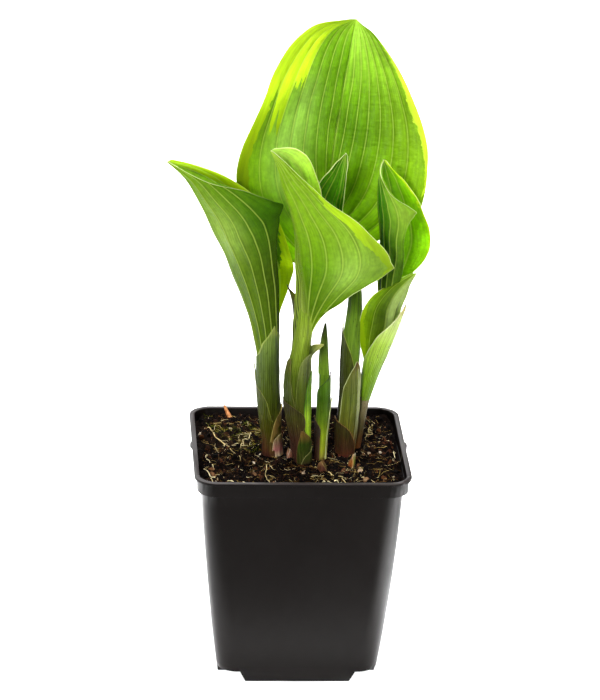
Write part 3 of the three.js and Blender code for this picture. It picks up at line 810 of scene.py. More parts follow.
def fibre_tree(profile_sides):
    """Thin roots and fibres that lie about, each bent its own way."""
    tree = Scatter("fibres", {**SIZES, "Thickness": "NodeSocketFloat"})
    line = tree.node("GeometryNodeCurvePrimitiveLine", {"Start": (-0.5, 0, 0), "End": (0.5, 0, 0)}).outputs[0]
    line = tree.node("GeometryNodeResampleCurve", {"Curve": line, "Count": 8}).outputs[0]
    length = tree.draw(tree["Smallest"], tree["Largest"], 1)
    turned = tree.draw_vector((-0.3, -0.35, 0.0), (0.3, 0.35, 6.28), 3)
    strewn = tree.strewn(line, length, turned)
    bent = tree.bent(strewn, 170.0, tree["Roughness"], 1.0)
    radius = tree.draw(0.5, 1.3, 9)
    shaped = tree.node("GeometryNodeSetCurveRadius", {"Curve": bent, "Radius": radius}).outputs[0]
    ring = tree.node("GeometryNodeCurvePrimitiveCircle",
                     {"Resolution": profile_sides, "Radius": tree["Thickness"]})
    tube = tree.node("GeometryNodeCurveToMesh",
                     {"Curve": shaped, "Profile Curve": ring.outputs[0], "Fill Caps": True}).outputs[0]
    smooth = tree.node("GeometryNodeSetShadeSmooth", {"Geometry": tube}).outputs[0]
    return tree.close(smooth)


PEAT = [(0.0, (3, 2, 2)), (0.6, (11, 8, 7)), (0.86, (32, 17, 10)), (0.95, (72, 42, 22)),
        (0.985, (124, 94, 66)), (1.0, (200, 186, 162))]
FIBRE = [(0.0, (42, 26, 8)), (0.35, (92, 64, 24)), (0.7, (176, 150, 82)), (1.0, (250, 236, 184))]
MOSS = [(0.0, (22, 28, 1)), (0.4, (50, 62, 2)), (0.8, (96, 104, 8)), (1.0, (158, 148, 40))]
BARK = [(0.0, (26, 14, 9)), (0.5, (60, 34, 22)), (1.0, (104, 68, 44))]
CHALK = [(0.0, (150, 132, 108)), (1.0, (214, 200, 176))]
SPROUT = [(0.0, (84, 106, 26)), (0.5, (132, 156, 56)), (1.0, (204, 206, 150))]

MOSS_SPOTS = [(-44, 42), (-40, 33), (-35, 24), (-31, 16), (-27, 31), (-21, 22), (-20, 12), (-25, 5)]
BARK_SPOTS = [(-38, -12), (-35, -25), (45, 3), (47, 16), (22, -30), (-18, 40)]
CHALK_SPOTS = [(-33, -20), (-31, -19), (-19, -39), (31.5, 11), (34, 15.5), (6, -45.5), (-44, -38), (41, -20)]
SPROUT_SPOTS = [(25.6, -13), (27, -8), (17, -27), (22, -24)]


def inside(margin):
    """True further than a margin from the walls."""
    return lambda x, y: np.maximum(np.abs(x), np.abs(y)) < SCATTER_HALF - margin


def near(spots, reach, margin=0.0):
    """True within reach of any of the spots, and further than a margin from the walls."""
    def test(x, y):
        return (np.min([np.hypot(x - sx, y - sy) for sx, sy in spots], axis=0) < reach) & inside(margin)(x, y)
    return test


def make_litter(fibre):
    """Crumbs, clods, bark, chalky grains, fibres, moss and sprouts on the soil's surface."""
    peat = litter_finish("peat_crumbs", PEAT)
    moss = litter_finish("moss_strands", MOSS, (0.5, 0.7), 300)
    bark = litter_finish("bark_bits", BARK, (0.6, 0.85), 500)
    chalk = litter_finish("chalk_grains", CHALK, (0.7, 0.9), 500)
    sprout = litter_finish("sprout_skin", SPROUT, (0.4, 0.6), 300)
    grains, lumps = crumb_tree(1), crumb_tree(2)
    thin, stout = fibre_tree(4), fibre_tree(5)
    # Each row: the tree, the piece, where it lies, its finish, how many a square millimetre, its
    # smallest and largest length, how far it is bent, and its thickness, in millimetres
    rows = [
        (grains, "soil_grains", inside(0), peat, 0.85, 0.25, 0.8, 0.6, None),
        (lumps, "soil_clods", inside(0), peat, 0.1, 0.7, 2.0, 1.8, None),
        (lumps, "bark_bits", near(BARK_SPOTS, 5), bark, 0.06, 0.8, 1.9, 1.7, None),
        (grains, "chalk_grains", near(CHALK_SPOTS, 1.3), chalk, 0.2, 0.3, 0.8, 0.6, None),
        (thin, "fine_fibres", inside(3), fibre, 0.12, 3, 11, 3, 0.048),
        (stout, "root_bits", inside(7), fibre, 0.02, 7, 16, 5, 0.082),
        (thin, "moss_strands", near(MOSS_SPOTS, 6.5, 3), moss, 0.55, 2, 6, 5, 0.046),
        (stout, "sprout_strands", near(SPROUT_SPOTS, 2.2), sprout, 0.5, 1.5, 4, 4, 0.3),
    ]
    for seed, (tree, name, keep, finish, density, smallest, largest, bend, thickness) in enumerate(rows):
        values = {"Density": density / MM ** 2, "Seed": seed + 2, "Smallest": smallest * MM,
                  "Largest": largest * MM, "Roughness": bend * MM, "Finish": finish}
        if thickness:
            values["Thickness"] = thickness * MM
        dressed(tree.run(name, scatter_ground("ground_of_" + name, keep), **values), finish, "soil")


# Roots that lie on the soil: each is a run of places from above, with its thickness
SURFACE_ROOTS = [
    (0.42, [(-46.6, 33.1), (-43.2, 26), (-39.4, 14.6), (-35.6, 6.1), (-32.3, -2.3), (-30, -9.2)]),
    (0.38, [(-50.5, -21.9), (-48.5, -24.6), (-45.1, -31.4), (-40.6, -32.7), (-36.2, -35.4)]),
    (0.34, [(-22.8, 27.7), (-26.9, 16.2), (-29.9, 6.2)]),
    (0.3, [(-16.4, -14.6), (-18, -25.7), (-18.1, -39.3), (-17.5, -47.5)]),
    (0.42, [(-23.5, -46.6), (-20, -48.2), (-15.5, -48.4), (-11.5, -47.2)]),
    (0.4, [(14, -27.5), (17.5, -28.4), (20.5, -33), (21.9, -38.9), (22.9, -46)]),
    (0.42, [(42, -45), (45.5, -43.6), (48.6, -40.5), (50, -37)]),
    (0.3, [(50.6, 5.8), (49.5, -4.1), (47.2, -13.9)]),
    (0.34, [(26.1, -22.5), (30.3, -21), (33.5, -26.5)]),
    (0.3, [(-48.3, -5.3), (-46.1, -15), (-44.4, -26)]),
    (0.32, [(-47.7, -32.8), (-46, -42.3), (-45.8, -49)]),
    (0.34, [(27, -38), (30.5, -36.2), (33.5, -39.5), (37, -41)]),
    (0.36, [(10, -38), (13, -41.5), (17.5, -41), (19, -45.5)]),
    (0.3, [(36, 20), (39.5, 26), (38, 33), (42, 38)]),
    (0.3, [(-40, 8), (-34, 10.5), (-28, 9), (-24, 12.5)]),
    (0.34, [(-38, -41), (-32, -39.5), (-27.5, -43.5)]),
]


def make_roots(finish):
    """The roots as one piece, each bent off its line and half risen from the peat."""
    points, faces, shades = [], [], []
    for index, (radius, places) in enumerate(SURFACE_ROOTS):
        flat = rail(places, np.linspace(0, 1, 14))
        bends = ripples(index, 4, 14)
        flat = flat + np.stack([bends(flat[:, 0], flat[:, 1]), bends(flat[:, 1], flat[:, 0])], -1) * 0.5
        lift = 0.66 * radius + ROOT_LIFT + 0.5 * bends(flat[:, 1] + 30, flat[:, 0])
        path = np.column_stack([flat, bed_height(flat[:, 0], flat[:, 1]) + lift])
        thickness = ROOT_SLIMNESS * radius * np.array([0.75, 1.0, 1.05, 0.9, 0.55])
        rings, _ = tube_points(path, thickness, ROOT_ROWS, ROOT_SIDES)
        before = sum(map(len, points))
        faces += [[corner + before for corner in face] for face in tube_quads(ROOT_ROWS, ROOT_SIDES)]
        points.append(rings)
        shades += [0.78 + 0.22 * math.sin(5.1 * index) ** 2] * len(rings)
    roots = piece_of("surface_roots", np.vstack(points), faces, {"shade": shades})
    dressed(roots, finish, "soil")


# Growing things: tubes, sheaths and blades
def tint_of(palette, places):
    """Colours along a run of (place, screen colour) stops, as linear RGBA rows."""
    stops = np.array([place for place, _ in palette], float)
    colours = np.array([srgb(*colour) for _, colour in palette])
    return np.stack([np.interp(places, stops, colours[:, channel]) for channel in range(4)], -1)


def tube_points(path, radii, rows, sides, grooves=0.0):
    """Rings along a smooth path, then the foot and tip points; and each point's share of a turn."""
    u = np.linspace(0, 1, rows)
    centre = rail(path, u)
    along = heading(path, u)
    across = unit(np.cross([0.0, 1.0, 0.0], along))
    away = np.cross(along, across)
    angles = np.arange(sides) * 2 * math.pi / sides
    radius = rail(radii, u)[:, None] * (1 + grooves * np.cos(9 * angles)[None])
    rings = (centre[:, None] + across[:, None] * (radius * np.cos(angles))[..., None]
             + away[:, None] * (radius * np.sin(angles))[..., None])
    points = np.vstack([rings.reshape(-1, 3), centre[0], centre[-1]])
    turns = np.append(np.tile(angles / (2 * math.pi), rows), (0, 0))
    return points, turns


def skin_numbers(lane, from_edge, blush, edge_width=EDGE_WIDTH):
    """Each point's place round the stem, its distance from the dry edge and its blush."""
    return {"lane": lane, "from_edge": from_edge - edge_width, "blush": blush}


def stem_piece(name, shoot):
    """A finely grooved stem, purple where it leaves the soil."""
    points, turns = tube_points(shoot["path"], shoot["radii"], STEM_ROWS, STEM_SIDES, STEM_GROOVES)
    tint = tint_of(shoot["palette"], points[:, 2])
    blush = smooth_step(points[:, 2], STEM_BLUSH_TOP, SOIL_LINE)
    numbers = skin_numbers(turns * STEM_LANES, np.full(len(points), FAR_FROM_EDGE), blush)
    return piece_of(name, points, tube_quads(STEM_ROWS, STEM_SIDES), numbers, tint=tint, edge_tint=tint)


def sheath_piece(name, shoot, sleeve, layer):
    """A thin sleeve that clasps its stem. Its two free edges run through (height, left, right),
    where left and right are the angles that they stand at, in degrees from the front."""
    u = np.linspace(0, 1, SHEATH_ROWS)
    w = np.linspace(-1, 1, SHEATH_COLUMNS)
    height, left, right = rail(sleeve["edges"], u).T
    height = np.maximum.accumulate(height)
    share = (height - height[0]) / (height[-1] - height[0])
    path = sleeve.get("path", shoot["path"])
    dense = np.linspace(0, 1, 400)
    rise = np.interp(height, np.maximum.accumulate(rail(path, dense)[:, 2]), dense)
    centre = rail(path, rise)
    turn = left[:, None] + (right - left)[:, None] * (w[None] + 1) / 2
    angle = np.radians(turn - 90)
    curl = sleeve.get("curl", 0) * np.clip((share - 0.86) / 0.14, 0, 1) ** 1.6
    radius = (rail(sleeve.get("radii", shoot["radii"]), rise) + 0.1 + SHEATH_STEP * layer
              + sleeve.get("swell", 0) * np.sin(np.pi * share)
              + sleeve.get("flare", 0.3) * share ** 5 + curl)[:, None]
    creases = ripples(len(name) + layer, 2, 9)
    radius = radius + 0.012 * radius * creases(turn / 8, height[:, None] / 2) + 0.25 * np.abs(w[None]) ** 7
    lean = np.stack([np.cos(angle), np.sin(angle), np.zeros_like(angle)], -1)
    thickness = SHEATH_THICKNESS * (1 - 0.6 * np.abs(w[None]) ** 4)
    middle = np.broadcast_to(centre[:, None], lean.shape).copy()
    middle[..., 2] = (height - 0.3 * curl)[:, None]
    outer = middle + lean * (radius + thickness / 2)[..., None]
    inner = middle + lean * (radius - thickness / 2)[..., None]
    arc = np.radians(right - left)[:, None] / 2 * radius
    from_edge = arc * (1 - np.abs(w[None]))
    lane = turn * STEM_LANES / 360 + 60 * (layer + 1)
    blush = smooth_step(height, SHEATH_BLUSH_TOP, SOIL_LINE) * sleeve.get("blush", 1.0)
    numbers = skin_numbers(np.tile(lane.ravel(), 2), np.tile(from_edge.ravel(), 2),
                           np.tile(np.repeat(blush, SHEATH_COLUMNS), 2), sleeve.get("edge_width", EDGE_WIDTH))
    tint = np.tile(np.repeat(tint_of(sleeve["palette"], share), SHEATH_COLUMNS, axis=0), (2, 1))
    edge = np.tile(srgb(*sleeve["edge"]), (len(tint), 1))
    points = np.vstack([outer.reshape(-1, 3), inner.reshape(-1, 3)])
    return piece_of(name, points, two_faced_quads(SHEATH_ROWS, SHEATH_COLUMNS), numbers,
                    tint=tint, edge_tint=edge)


def gold_fields(leaf, side, u, lane, from_edge, run):
    """How far each point lies inside the yellow border, in mm: the band along the margin, and the
    strips between two veins that are yellow from one place to another."""
    plan = leaf.get("gold", {}).get(side, {})
    band = spread(plan.get("band", NO_BAND), u)[:, None] - from_edge
    strips = np.full(lane.shape, NO_STRIP)
    for strip, start, end in plan.get("strips", ()):
        inside_strip = np.floor(np.minimum(lane, leaf["veins"] - 1e-6)) == strip
        length = run[-1, 0]
        reach = np.minimum(run - start * length, end * length - run)
        strips = np.where(inside_strip, np.maximum(strips, reach), strips)
    return band, strips


def half_blade(leaf, side, u, w):
    """One half of a blade, from the midrib to its margin, in even steps w from vein to vein: the
    points of its upper and lower face, and how each stands on the blade."""
    turn = -1 if side == "left" else 1
    centre = rail(leaf["midrib"], u)
    along = heading(leaf["midrib"], u)
    taper = np.sqrt(np.maximum(1 - (np.maximum(u - TIP_START, 0) / (1 - TIP_START)) ** 2, 0.01))
    reach = np.interp(u, *np.array(leaf.get("reach", {}).get(side, [(0, 1), (1, 1)])).T)
    chord = (rail(leaf[side], u) - centre) * (taper * reach)[:, None]
    inner = evened(chord, leaf.get("ease", VEIN_EASE))
    width = np.linalg.norm(chord, axis=1)
    outward = turn * unit(np.cross(along, inner))
    fade = np.sqrt(np.sin(np.pi * np.clip(u, 0.02, 0.98)))
    fanning = (1 + (leaf.get("fan", 1) - 1) * (1 - u) ** 2)[:, None]
    v = 1 - (1 - w[None] ** fanning) ** leaf.get("crowd", 1)
    lane = np.broadcast_to(leaf["veins"] * w[None], v.shape)
    height, count = leaf["wave"]
    belly = 2 * v * (1 - v) * (spread(leaf["cup"][side], u) * width)[:, None]
    firm = (fade * np.minimum(1, width / FULL_RIB_WIDTH))[:, None]
    pillow = -PILLOW_HEIGHT * firm * (np.abs(np.sin(np.pi * lane)) ** 0.8 - 0.5)
    wave = height * v ** 3 * (fade * np.sin(2 * np.pi * count * u + turn))[:, None]
    frill_turn = 2 * np.pi * (FRILL_CLOSENESS * count) * u + 2 * turn + 1
    frill = FRILL_HEIGHT * v ** 4 * (fade * np.sin(frill_turn))[:, None]
    steps = np.linalg.norm(np.diff(centre, axis=0), axis=1)
    run = np.broadcast_to(np.append(0, np.cumsum(steps))[:, None], lane.shape)
    buckle = leaf.get("buckle", 0.5) * firm * ripples(len(leaf["node"]), 16, 44)(turn * v * width[:, None], run)
    hold = (v ** MARGIN_HOLD)[..., None]
    middle = centre[:, None] + inner[:, None] * v[..., None] + (chord - inner)[:, None] * hold
    from_midrib = width[:, None] * v
    from_edge = np.linalg.norm(middle - middle[:, -1:], axis=-1)
    strip = np.linalg.norm(np.gradient(middle, w, axis=1), axis=-1) / leaf["veins"]
    middle = middle + outward[:, None] * (belly + pillow + wave + frill + buckle)[..., None]
    off_vein = np.abs(lane - np.round(lane)) * strip
    rib_width = spread(leaf["rib_width"], u)[:, None]
    swell = VEIN_HEIGHT * firm * np.exp(-(off_vein / 0.4) ** 2) * smooth_step(from_edge, 0.5, 2)
    swell = swell + 0.5 * rib_width * np.exp(-(from_midrib / (0.7 * rib_width)) ** 2)
    thick = BLADE_THICKNESS + (MARGIN_THICKNESS - BLADE_THICKNESS) * v ** 3
    upper = middle - outward[:, None] * (thick / 2)[..., None]
    lower = middle + outward[:, None] * (thick / 2 + swell)[..., None]
    band, strips = gold_fields(leaf, side, u, lane, from_edge, run)
    numbers = {"lane": lane + (0 if side == "right" else 40), "run": run, "from_edge": from_edge,
               "strip_width": strip, "from_midrib": from_midrib,
               "midrib_width": rib_width * np.ones_like(v), "gold_band": band, "gold_strips": strips,
               "cream_width": spread(leaf["cream"], u)[:, None] * np.ones_like(v),
               "vein_width": leaf.get("vein_width", 0.3) * np.ones_like(v)}
    tints = [tinted(leaf, face, side, u, v) for face in ("upper", "lower")]
    return upper, lower, numbers, tints


def tinted(leaf, face, side, u, v):
    """The colours of one face of one half, from the midrib's palette to the margin's, with patches of painted
    sheen laid over them.
    """
    inner = tint_of(leaf.get(face + "_" + side, leaf[face]), u)[:, None]
    outer = tint_of(leaf.get(face + "_edge_" + side, leaf[face + "_edge"]), u)[:, None]
    tint = inner + (outer - inner) * smooth_step(v, 0.15, 1.0)[..., None]
    for at_u, at_v, long, wide, colour, strength in leaf.get("painted_sheen", {}).get(face + "_" + side, ()):
        weight = strength * np.exp(-((u[:, None] - at_u) / long) ** 2 - ((v - at_v) / wide) ** 2)
        tint = tint + (np.array(srgb(*colour)) - tint) * weight[..., None]
    return tint


def blade_piece(name, leaf):
    """A whole blade as one closed sheet: both halves, upper and lower face and the margin."""
    u = np.linspace(0, 1, BLADE_ROWS + 1)
    w = np.linspace(0, 1, leaf["veins"] * LANE_COLUMNS + 1)
    left = half_blade(leaf, "left", u, w)
    right = half_blade(leaf, "right", u, w)

    def both(a, b):
        middle = (a[:, :1] + b[:, :1]) / 2
        return np.concatenate([a[:, :0:-1], middle, b[:, 1:]], axis=1)
    upper, lower = both(left[0], right[0]), both(left[1], right[1])
    numbers = {label: np.tile(np.concatenate([left[2][label][:, :0:-1], values], axis=1).ravel(), 2)
               for label, values in right[2].items()}
    tint = np.vstack([both(a, b).reshape(-1, 4) for a, b in zip(left[3], right[3])])
    golds = [leaf.get("gold", {}).get(side, {}).get("tint", GOLD) for side in ("left", "right")]
    border = both(*(np.repeat(tint_of(gold, u)[:, None], len(w), axis=1) for gold in golds))
    points = np.vstack([upper.reshape(-1, 3), lower.reshape(-1, 3)])
    return piece_of(name, points, two_faced_quads(len(u), upper.shape[1]), numbers, tint=tint,
                    edge_tint=np.tile(border.reshape(-1, 4), (2, 1)))


# Every point below is a place on the plant in millimetres; a blade has a midrib and a margin on
# either side of it, left and right as seen from its upper face. Runs of values go from the foot, 0,
# to the tip, 1. Veins counts the lanes between the veins of one half; crowd gathers the veins
# towards the margin, and fan gathers them at the midrib near the foot. Reach draws the margin in or
# out, ease is the number of rows that a bend is spread over, cup is the hollow of a half as a share
# of its width, wave is the height and the number of the margin's waves, and buckle is how uneven
# the skin is. The upper and the lower face have their colours along the midrib and, under edge,
# along the margin, for both halves or for one. These colours are partly the leaf's own greens and
# partly painted light and shade: lighter where light falls on a half, darker where it curls away
# or lies under another. Painted sheen is a list of painted highlights, each with its place along
# and across a half, its length, width, colour and strength. Gold gives the yellow border: the
# width of its band along the margin, its own colours, and strips between veins with their start
# and end as shares of the blade's length.
BLADES = {
    "left_blade": dict(
        node="shoot_left", veins=5, rib_width=[1.5, 1.2, 0.9, 0.6, 0.4, 0.3],
        cream=[0, 0, 0, 0, 0.02, 0.06, 0.12, 0.2],
        reach={"left": [(0, 1), (0.46, 1), (0.53, 0.95), (0.575, 1.05), (0.62, 1.0), (1, 1)],
               "right": [(0, 1), (0.2, 1.14), (0.35, 1.07), (0.5, 1), (1, 1)]},
        vein_width=0.3, crowd=1.35, ease=16,
        painted_sheen={"lower_left": [(0.62, 0.25, 0.13, 0.3, (158, 190, 80), 0.75)]},
        midrib=[(-22, -4, 162), (-24.3, -6, 175), (-29.3, -7, 193), (-36.2, -7, 211),
                (-42.6, -6, 225), (-51, -5, 242), (-60, -3, 258), (-70, -1, 267)],
        left=[(-13, -6, 162), (-12, -10, 184), (-13, -14, 207), (-15, -17, 231),
              (-13, -17, 249), (-28, -16, 256), (-51, -12, 260), (-69, -3, 267)],
        right=[(-14, -1, 162), (-13, 4, 184), (-8, 10, 199), (-6, 12, 212),
               (-12, 12, 231), (-29, 10, 249), (-50, 7, 261), (-69, 1, 268)],
        cup={"left": [0.5, 0.5, 0.5, 0.45, 0.32, 0.4, 0.5], "right": 0.5}, wave=(0.8, 2),
        lower=[(0, (86, 112, 14)), (0.4, (92, 124, 16)), (0.75, (118, 158, 24)), (1, (128, 174, 20))],
        # painted shade: the lower face darkens towards its margin, where the half curls away from the light
        lower_edge=[(0, (62, 84, 8)), (0.35, (56, 80, 5)), (0.6, (58, 104, 1)), (0.8, (96, 142, 10)),
                    (1, (118, 168, 16))],
        upper=[(0, (96, 140, 11)), (0.5, (84, 140, 19)), (1, (104, 158, 12))],
        upper_edge=[(0, (120, 160, 8)), (0.5, (96, 150, 14)), (1, (140, 190, 16))],
        gold={"right": {"band": [-1, 2.5, 9, 6, 1.5, 5.5, 6, 3],
                        "tint": [(0, (160, 190, 8)), (0.35, (176, 206, 6)), (0.5, (200, 228, 14)),
                                 (0.8, (176, 208, 20)), (1, (176, 210, 34))]}}),
    "centre_blade": dict(
        node="shoot_centre", veins=5, rib_width=[2.2, 1.8, 1.2, 0.7, 0.4, 0.3],
        cream=[0.02, 0.14, 0.2, 0.22, 0.3],
        reach={"left": [(0, 1), (0.26, 1.0), (0.36, 0.94), (0.41, 0.98), (0.43, 1.02), (0.45, 0.985),
                        (0.5, 0.995), (1, 1)],
               "right": [(0, 1), (0.35, 0.9), (0.57, 0.88), (0.68, 0.97), (0.8, 1.05), (1, 1)]},
        vein_width=0.36, fan=1.5,
        painted_sheen={"lower_left": [(0.4, 0.66, 0.08, 0.2, (168, 202, 88), 0.6)]},
        midrib=[(-0.8, -18, 172), (0.4, -20, 189), (-1.2, -22, 206), (-3.4, -23, 222),
                (-6.6, -23, 240), (-11, -22, 255), (-15, -20, 268), (-19, -17, 278)],
        left=[(2.1, -17, 174), (5.2, -20, 190.5), (21, -24, 203), (43, -24, 219),
              (29, -29, 241), (9, -31, 257), (-7, -27, 270), (-18, -18, 278)],
        right=[(-5.5, -14, 172), (-5.3, -13, 187), (-3.6, -10, 204), (4, -5, 223),
               (11, -5, 246), (4, -8, 264), (-6, -12, 277), (-18, -16, 279)],
        cup={"left": 0.22, "right": 0.5}, wave=(0.8, 2),
        lower_right=[(0, (96, 106, 50)), (0.3, (74, 96, 14)), (0.5, (120, 170, 30)), (1, (156, 204, 50))],
        lower_edge_right=[(0, (78, 86, 44)), (0.3, (60, 80, 10)), (0.5, (120, 166, 30)), (1, (156, 206, 52))],
        lower=[(0, (128, 158, 22)), (0.2, (84, 118, 8)), (0.4, (100, 146, 10)), (0.6, (132, 176, 26)),
               (1, (148, 192, 36))],
        lower_edge=[(0, (120, 156, 16)), (0.25, (92, 128, 8)), (0.45, (140, 176, 56)), (0.75, (134, 172, 34)),
                    (1, (152, 192, 40))],
        upper=[(0, (120, 160, 11)), (0.5, (112, 170, 30)), (0.8, (140, 196, 60)), (1, (180, 230, 90))],
        # painted light: the far half's upper face is made lighter towards its margin, which the lamps leave in
        # shade
        upper_edge=[(0, (120, 160, 11)), (0.3, (190, 240, 30)), (0.6, (200, 250, 50)), (1, (210, 250, 110))],
        gold={"left": {"band": [-3, -3, -3, 0.5, 7.5, 6.5, 2.5, 0.6, -1],
                       "tint": [(0, (150, 188, 20)), (0.4, (156, 192, 34)), (0.6, (186, 220, 36)),
                                (1, (190, 226, 50))]}}),
    "back_blade": dict(
        node="shoot_back", veins=7, rib_width=[1.3, 1.0, 0.7, 0.5, 0.35, 0.25], cream=[0], fan=2.0,
        vein_width=0.24, buckle=0.6,
        reach={"left": [(0, 1), (0.38, 1.03), (0.5, 1.03), (0.57, 1.01), (0.63, 0.98), (0.7, 1.0), (0.76, 1.04),
                        (0.88, 1.08), (1, 1)],
               "right": [(0, 1), (0.3, 1.03), (0.42, 1.0), (0.6, 0.99), (0.72, 1.01), (0.9, 1.06), (1, 1)]},
        midrib=[(11.5, 22, 227), (12.5, 23.5, 236), (13.7, 26, 248), (15.6, 30, 265),
                (18.6, 35.5, 284), (22, 43, 303), (25, 51.5, 318), (27, 55, 326.4)],
        left=[(-1, 17, 206), (-9, 20, 211), (-24, 22, 226), (-33, 22, 253),
              (-24, 26, 283), (-12, 35, 309), (5, 46, 324.2), (25, 54, 327)],
        right=[(17, 17, 207), (37, 18, 219), (57, 19, 233), (63, 20, 262),
               (58, 25, 285), (48, 34, 305), (36, 46, 320), (28, 54, 325)],
        cup={"left": 0.12, "right": 0.12}, wave=(1.2, 2),
        # painted light and shade on the upper face: lighter near the tip for the sheen there, darker across the
        # middle
        upper=[(0, (112, 166, 4)), (0.3, (108, 158, 5)), (0.55, (92, 138, 7)), (0.8, (100, 150, 9)),
               (0.93, (146, 198, 36)), (1, (160, 212, 38))],
        upper_edge_left=[(0, (152, 216, 4)), (0.3, (140, 192, 12)), (0.46, (124, 172, 12)),
                         (0.54, (116, 160, 18)), (0.8, (120, 166, 20)), (1, (150, 204, 33))],
        painted_sheen={"upper_left": [(0.44, 0.52, 0.17, 0.22, (168, 212, 92), 0.75),
                                (0.62, 0.45, 0.06, 0.12, (150, 190, 80), 0.5)]},
        upper_right=[(0, (124, 184, 4)), (0.3, (108, 158, 5)), (0.5, (88, 134, 8)), (0.62, (100, 148, 14)),
                     (0.75, (142, 192, 46)), (0.88, (164, 214, 66)), (1, (160, 212, 50))],
        upper_edge=[(0, (152, 216, 4)), (0.3, (140, 190, 12)), (0.5, (126, 168, 26)), (0.8, (140, 188, 40)),
                    (1, (150, 204, 40))],
        lower=[(0, (120, 160, 28)), (1, (140, 180, 38))],
        lower_edge=[(0, (120, 160, 28)), (1, (140, 180, 38))],
        gold={"left": {"band": [1, 1, 2, 4, 5.6, 6.6, 6.4, 6, 5, 4.4, 4.4, 6, 6, 4, 2],
                       "strips": [(6, 0.67, 1.1), (5, 0.53, 1.1), (4, 0.67, 1.0)],
                       "tint": [(0, (134, 162, 6)), (0.44, (130, 158, 6)), (0.55, (172, 204, 16)),
                                (0.67, (192, 224, 34)), (1, (196, 226, 44))]},
              "right": {"band": [0, 0, 0, 0, 0.3, 0.8, 2, 3, 4, 3, 2, 1, -0.5, -1, -1],
                        "tint": [(0, (190, 220, 20)), (0.6, (206, 232, 60)), (1, (206, 232, 70))]}}),
    "right_centre_blade": dict(
        node="shoot_right_centre", veins=3, rib_width=[1.0, 0.7, 0.4, 0.25], cream=[0.05, 0.1, 0.18, 0.2],
        midrib=[(27, 0, 193), (24, 3, 213), (19, 5, 227), (14, 6, 240),
                (16, 6, 251), (18, 6, 261), (20, 6, 270)],
        left=[(24, 0, 194), (15, -1, 215), (6, -1, 232), (3, 0, 247),
              (9, 1, 258), (15, 3, 266), (20, 5, 270)],
        right=[(29.5, 0, 195), (30, 1, 212), (24, 2, 228), (19, 2, 240),
               (20, 3, 253), (21, 4, 262), (21, 5, 269)],
        cup={"left": 0.3, "right": 0.4}, wave=(0.4, 2),
        upper_right=[(0, (84, 146, 6)), (0.5, (82, 158, 5)), (1, (96, 164, 9))],
        upper=[(0, (70, 120, 6)), (0.5, (64, 124, 4)), (1, (84, 144, 9))],
        upper_edge=[(0, (70, 120, 6)), (1, (74, 134, 6))],
        lower=[(0, (96, 140, 16)), (1, (110, 160, 22))], lower_edge=[(0, (96, 140, 16)), (1, (110, 160, 22))]),
    "right_tall_blade": dict(
        node="shoot_right", veins=4, rib_width=[1.1, 0.8, 0.4, 0.25], cream=[0, 0, 0.0, 0.05, 0.12, 0.18, 0.22],
        reach={"left": [(0, 1), (0.5, 0.93), (0.555, 1.0), (0.575, 1.08), (0.6, 1.0), (1, 1)]},
        midrib=[(39.2, 2, 191), (38, 1, 206), (38.6, 0, 223), (38, 0, 236),
                (37, 0, 246), (37, 1, 256), (38, 3, 263), (39, 5, 267)],
        left=[(46, -1, 194), (50, -5, 209), (51, -8, 221), (51, -10, 233),
              (54, -10, 244), (42, -7, 253), (37, -2, 263), (39, 4, 267)],
        right=[(50, 5, 195), (56, 8, 205), (62.8, 11, 213), (65.5, 13, 224),
               (61, 13, 237), (54, 12, 250), (46, 9, 259), (40, 6, 267)],
        cup={"left": 0.4, "right": 0.4}, wave=(0.4, 2),
        lower=[(0, (60, 84, 8)), (0.3, (54, 96, 6)), (0.6, (54, 122, 3)), (1, (80, 150, 6))],
        lower_edge=[(0, (76, 110, 14)), (0.35, (104, 146, 30)), (0.55, (160, 198, 61)), (0.75, (150, 192, 50)),
                    (1, (120, 170, 16))],
        upper=[(0, (98, 162, 6)), (0.5, (104, 172, 4)), (1, (96, 156, 5))],
        upper_edge=[(0, (124, 190, 4)), (0.5, (144, 212, 6)), (1, (124, 188, 11))],
        gold={"right": {"band": [0, 0.4, 0.8, 1, 1.2, 1.4, 1]}}),
    "right_low_blade": dict(
        node="shoot_right", veins=2, vein_width=0.12, rib_width=[0.5, 0.5, 0.4, 0.25],
        cream=[0.1, 0.1, 0.1, 0.1],
        reach={"right": [(0, 1), (0.4, 1.05), (0.65, 1.18), (0.85, 1.12), (1, 1)]},
        midrib=[(37, 0, 160), (39.5, -4, 173), (41.8, -6.5, 182), (43, -7, 192), (47.6, -6, 201),
                (57, -2, 209.3)],
        left=[(40, 2, 160), (44, -2, 173), (48, -3, 183), (50.6, -3.4, 193), (53.4, -3, 201),
              (57.4, -1, 208.6)],
        right=[(32.4, 1, 160), (30, -1, 172), (29.8, -3, 184), (35, -4, 195.4), (44.6, -3, 203.6),
               (55, -2, 209.4)],
        cup={"left": 0.25, "right": 0.25}, wave=(0.3, 1),
        lower=[(0, (96, 128, 6)), (0.5, (56, 78, 4)), (1, (104, 138, 16))],
        lower_edge=[(0, (124, 160, 4)), (0.5, (112, 150, 9)), (1, (130, 166, 28))],
        lower_left=[(0, (110, 132, 50)), (0.4, (150, 174, 90)), (1, (170, 194, 104))],
        lower_edge_left=[(0, (130, 150, 70)), (0.5, (158, 182, 96)), (1, (170, 194, 104))],
        upper=[(0, (100, 150, 11)), (1, (120, 170, 22))], upper_edge=[(0, (100, 150, 11)), (1, (120, 170, 22))],
        gold={"right": {"band": [2, 3, 2.4, 1, 0, -1], "tint": [(0, (128, 162, 4)), (1, (150, 180, 20))]}}),
}

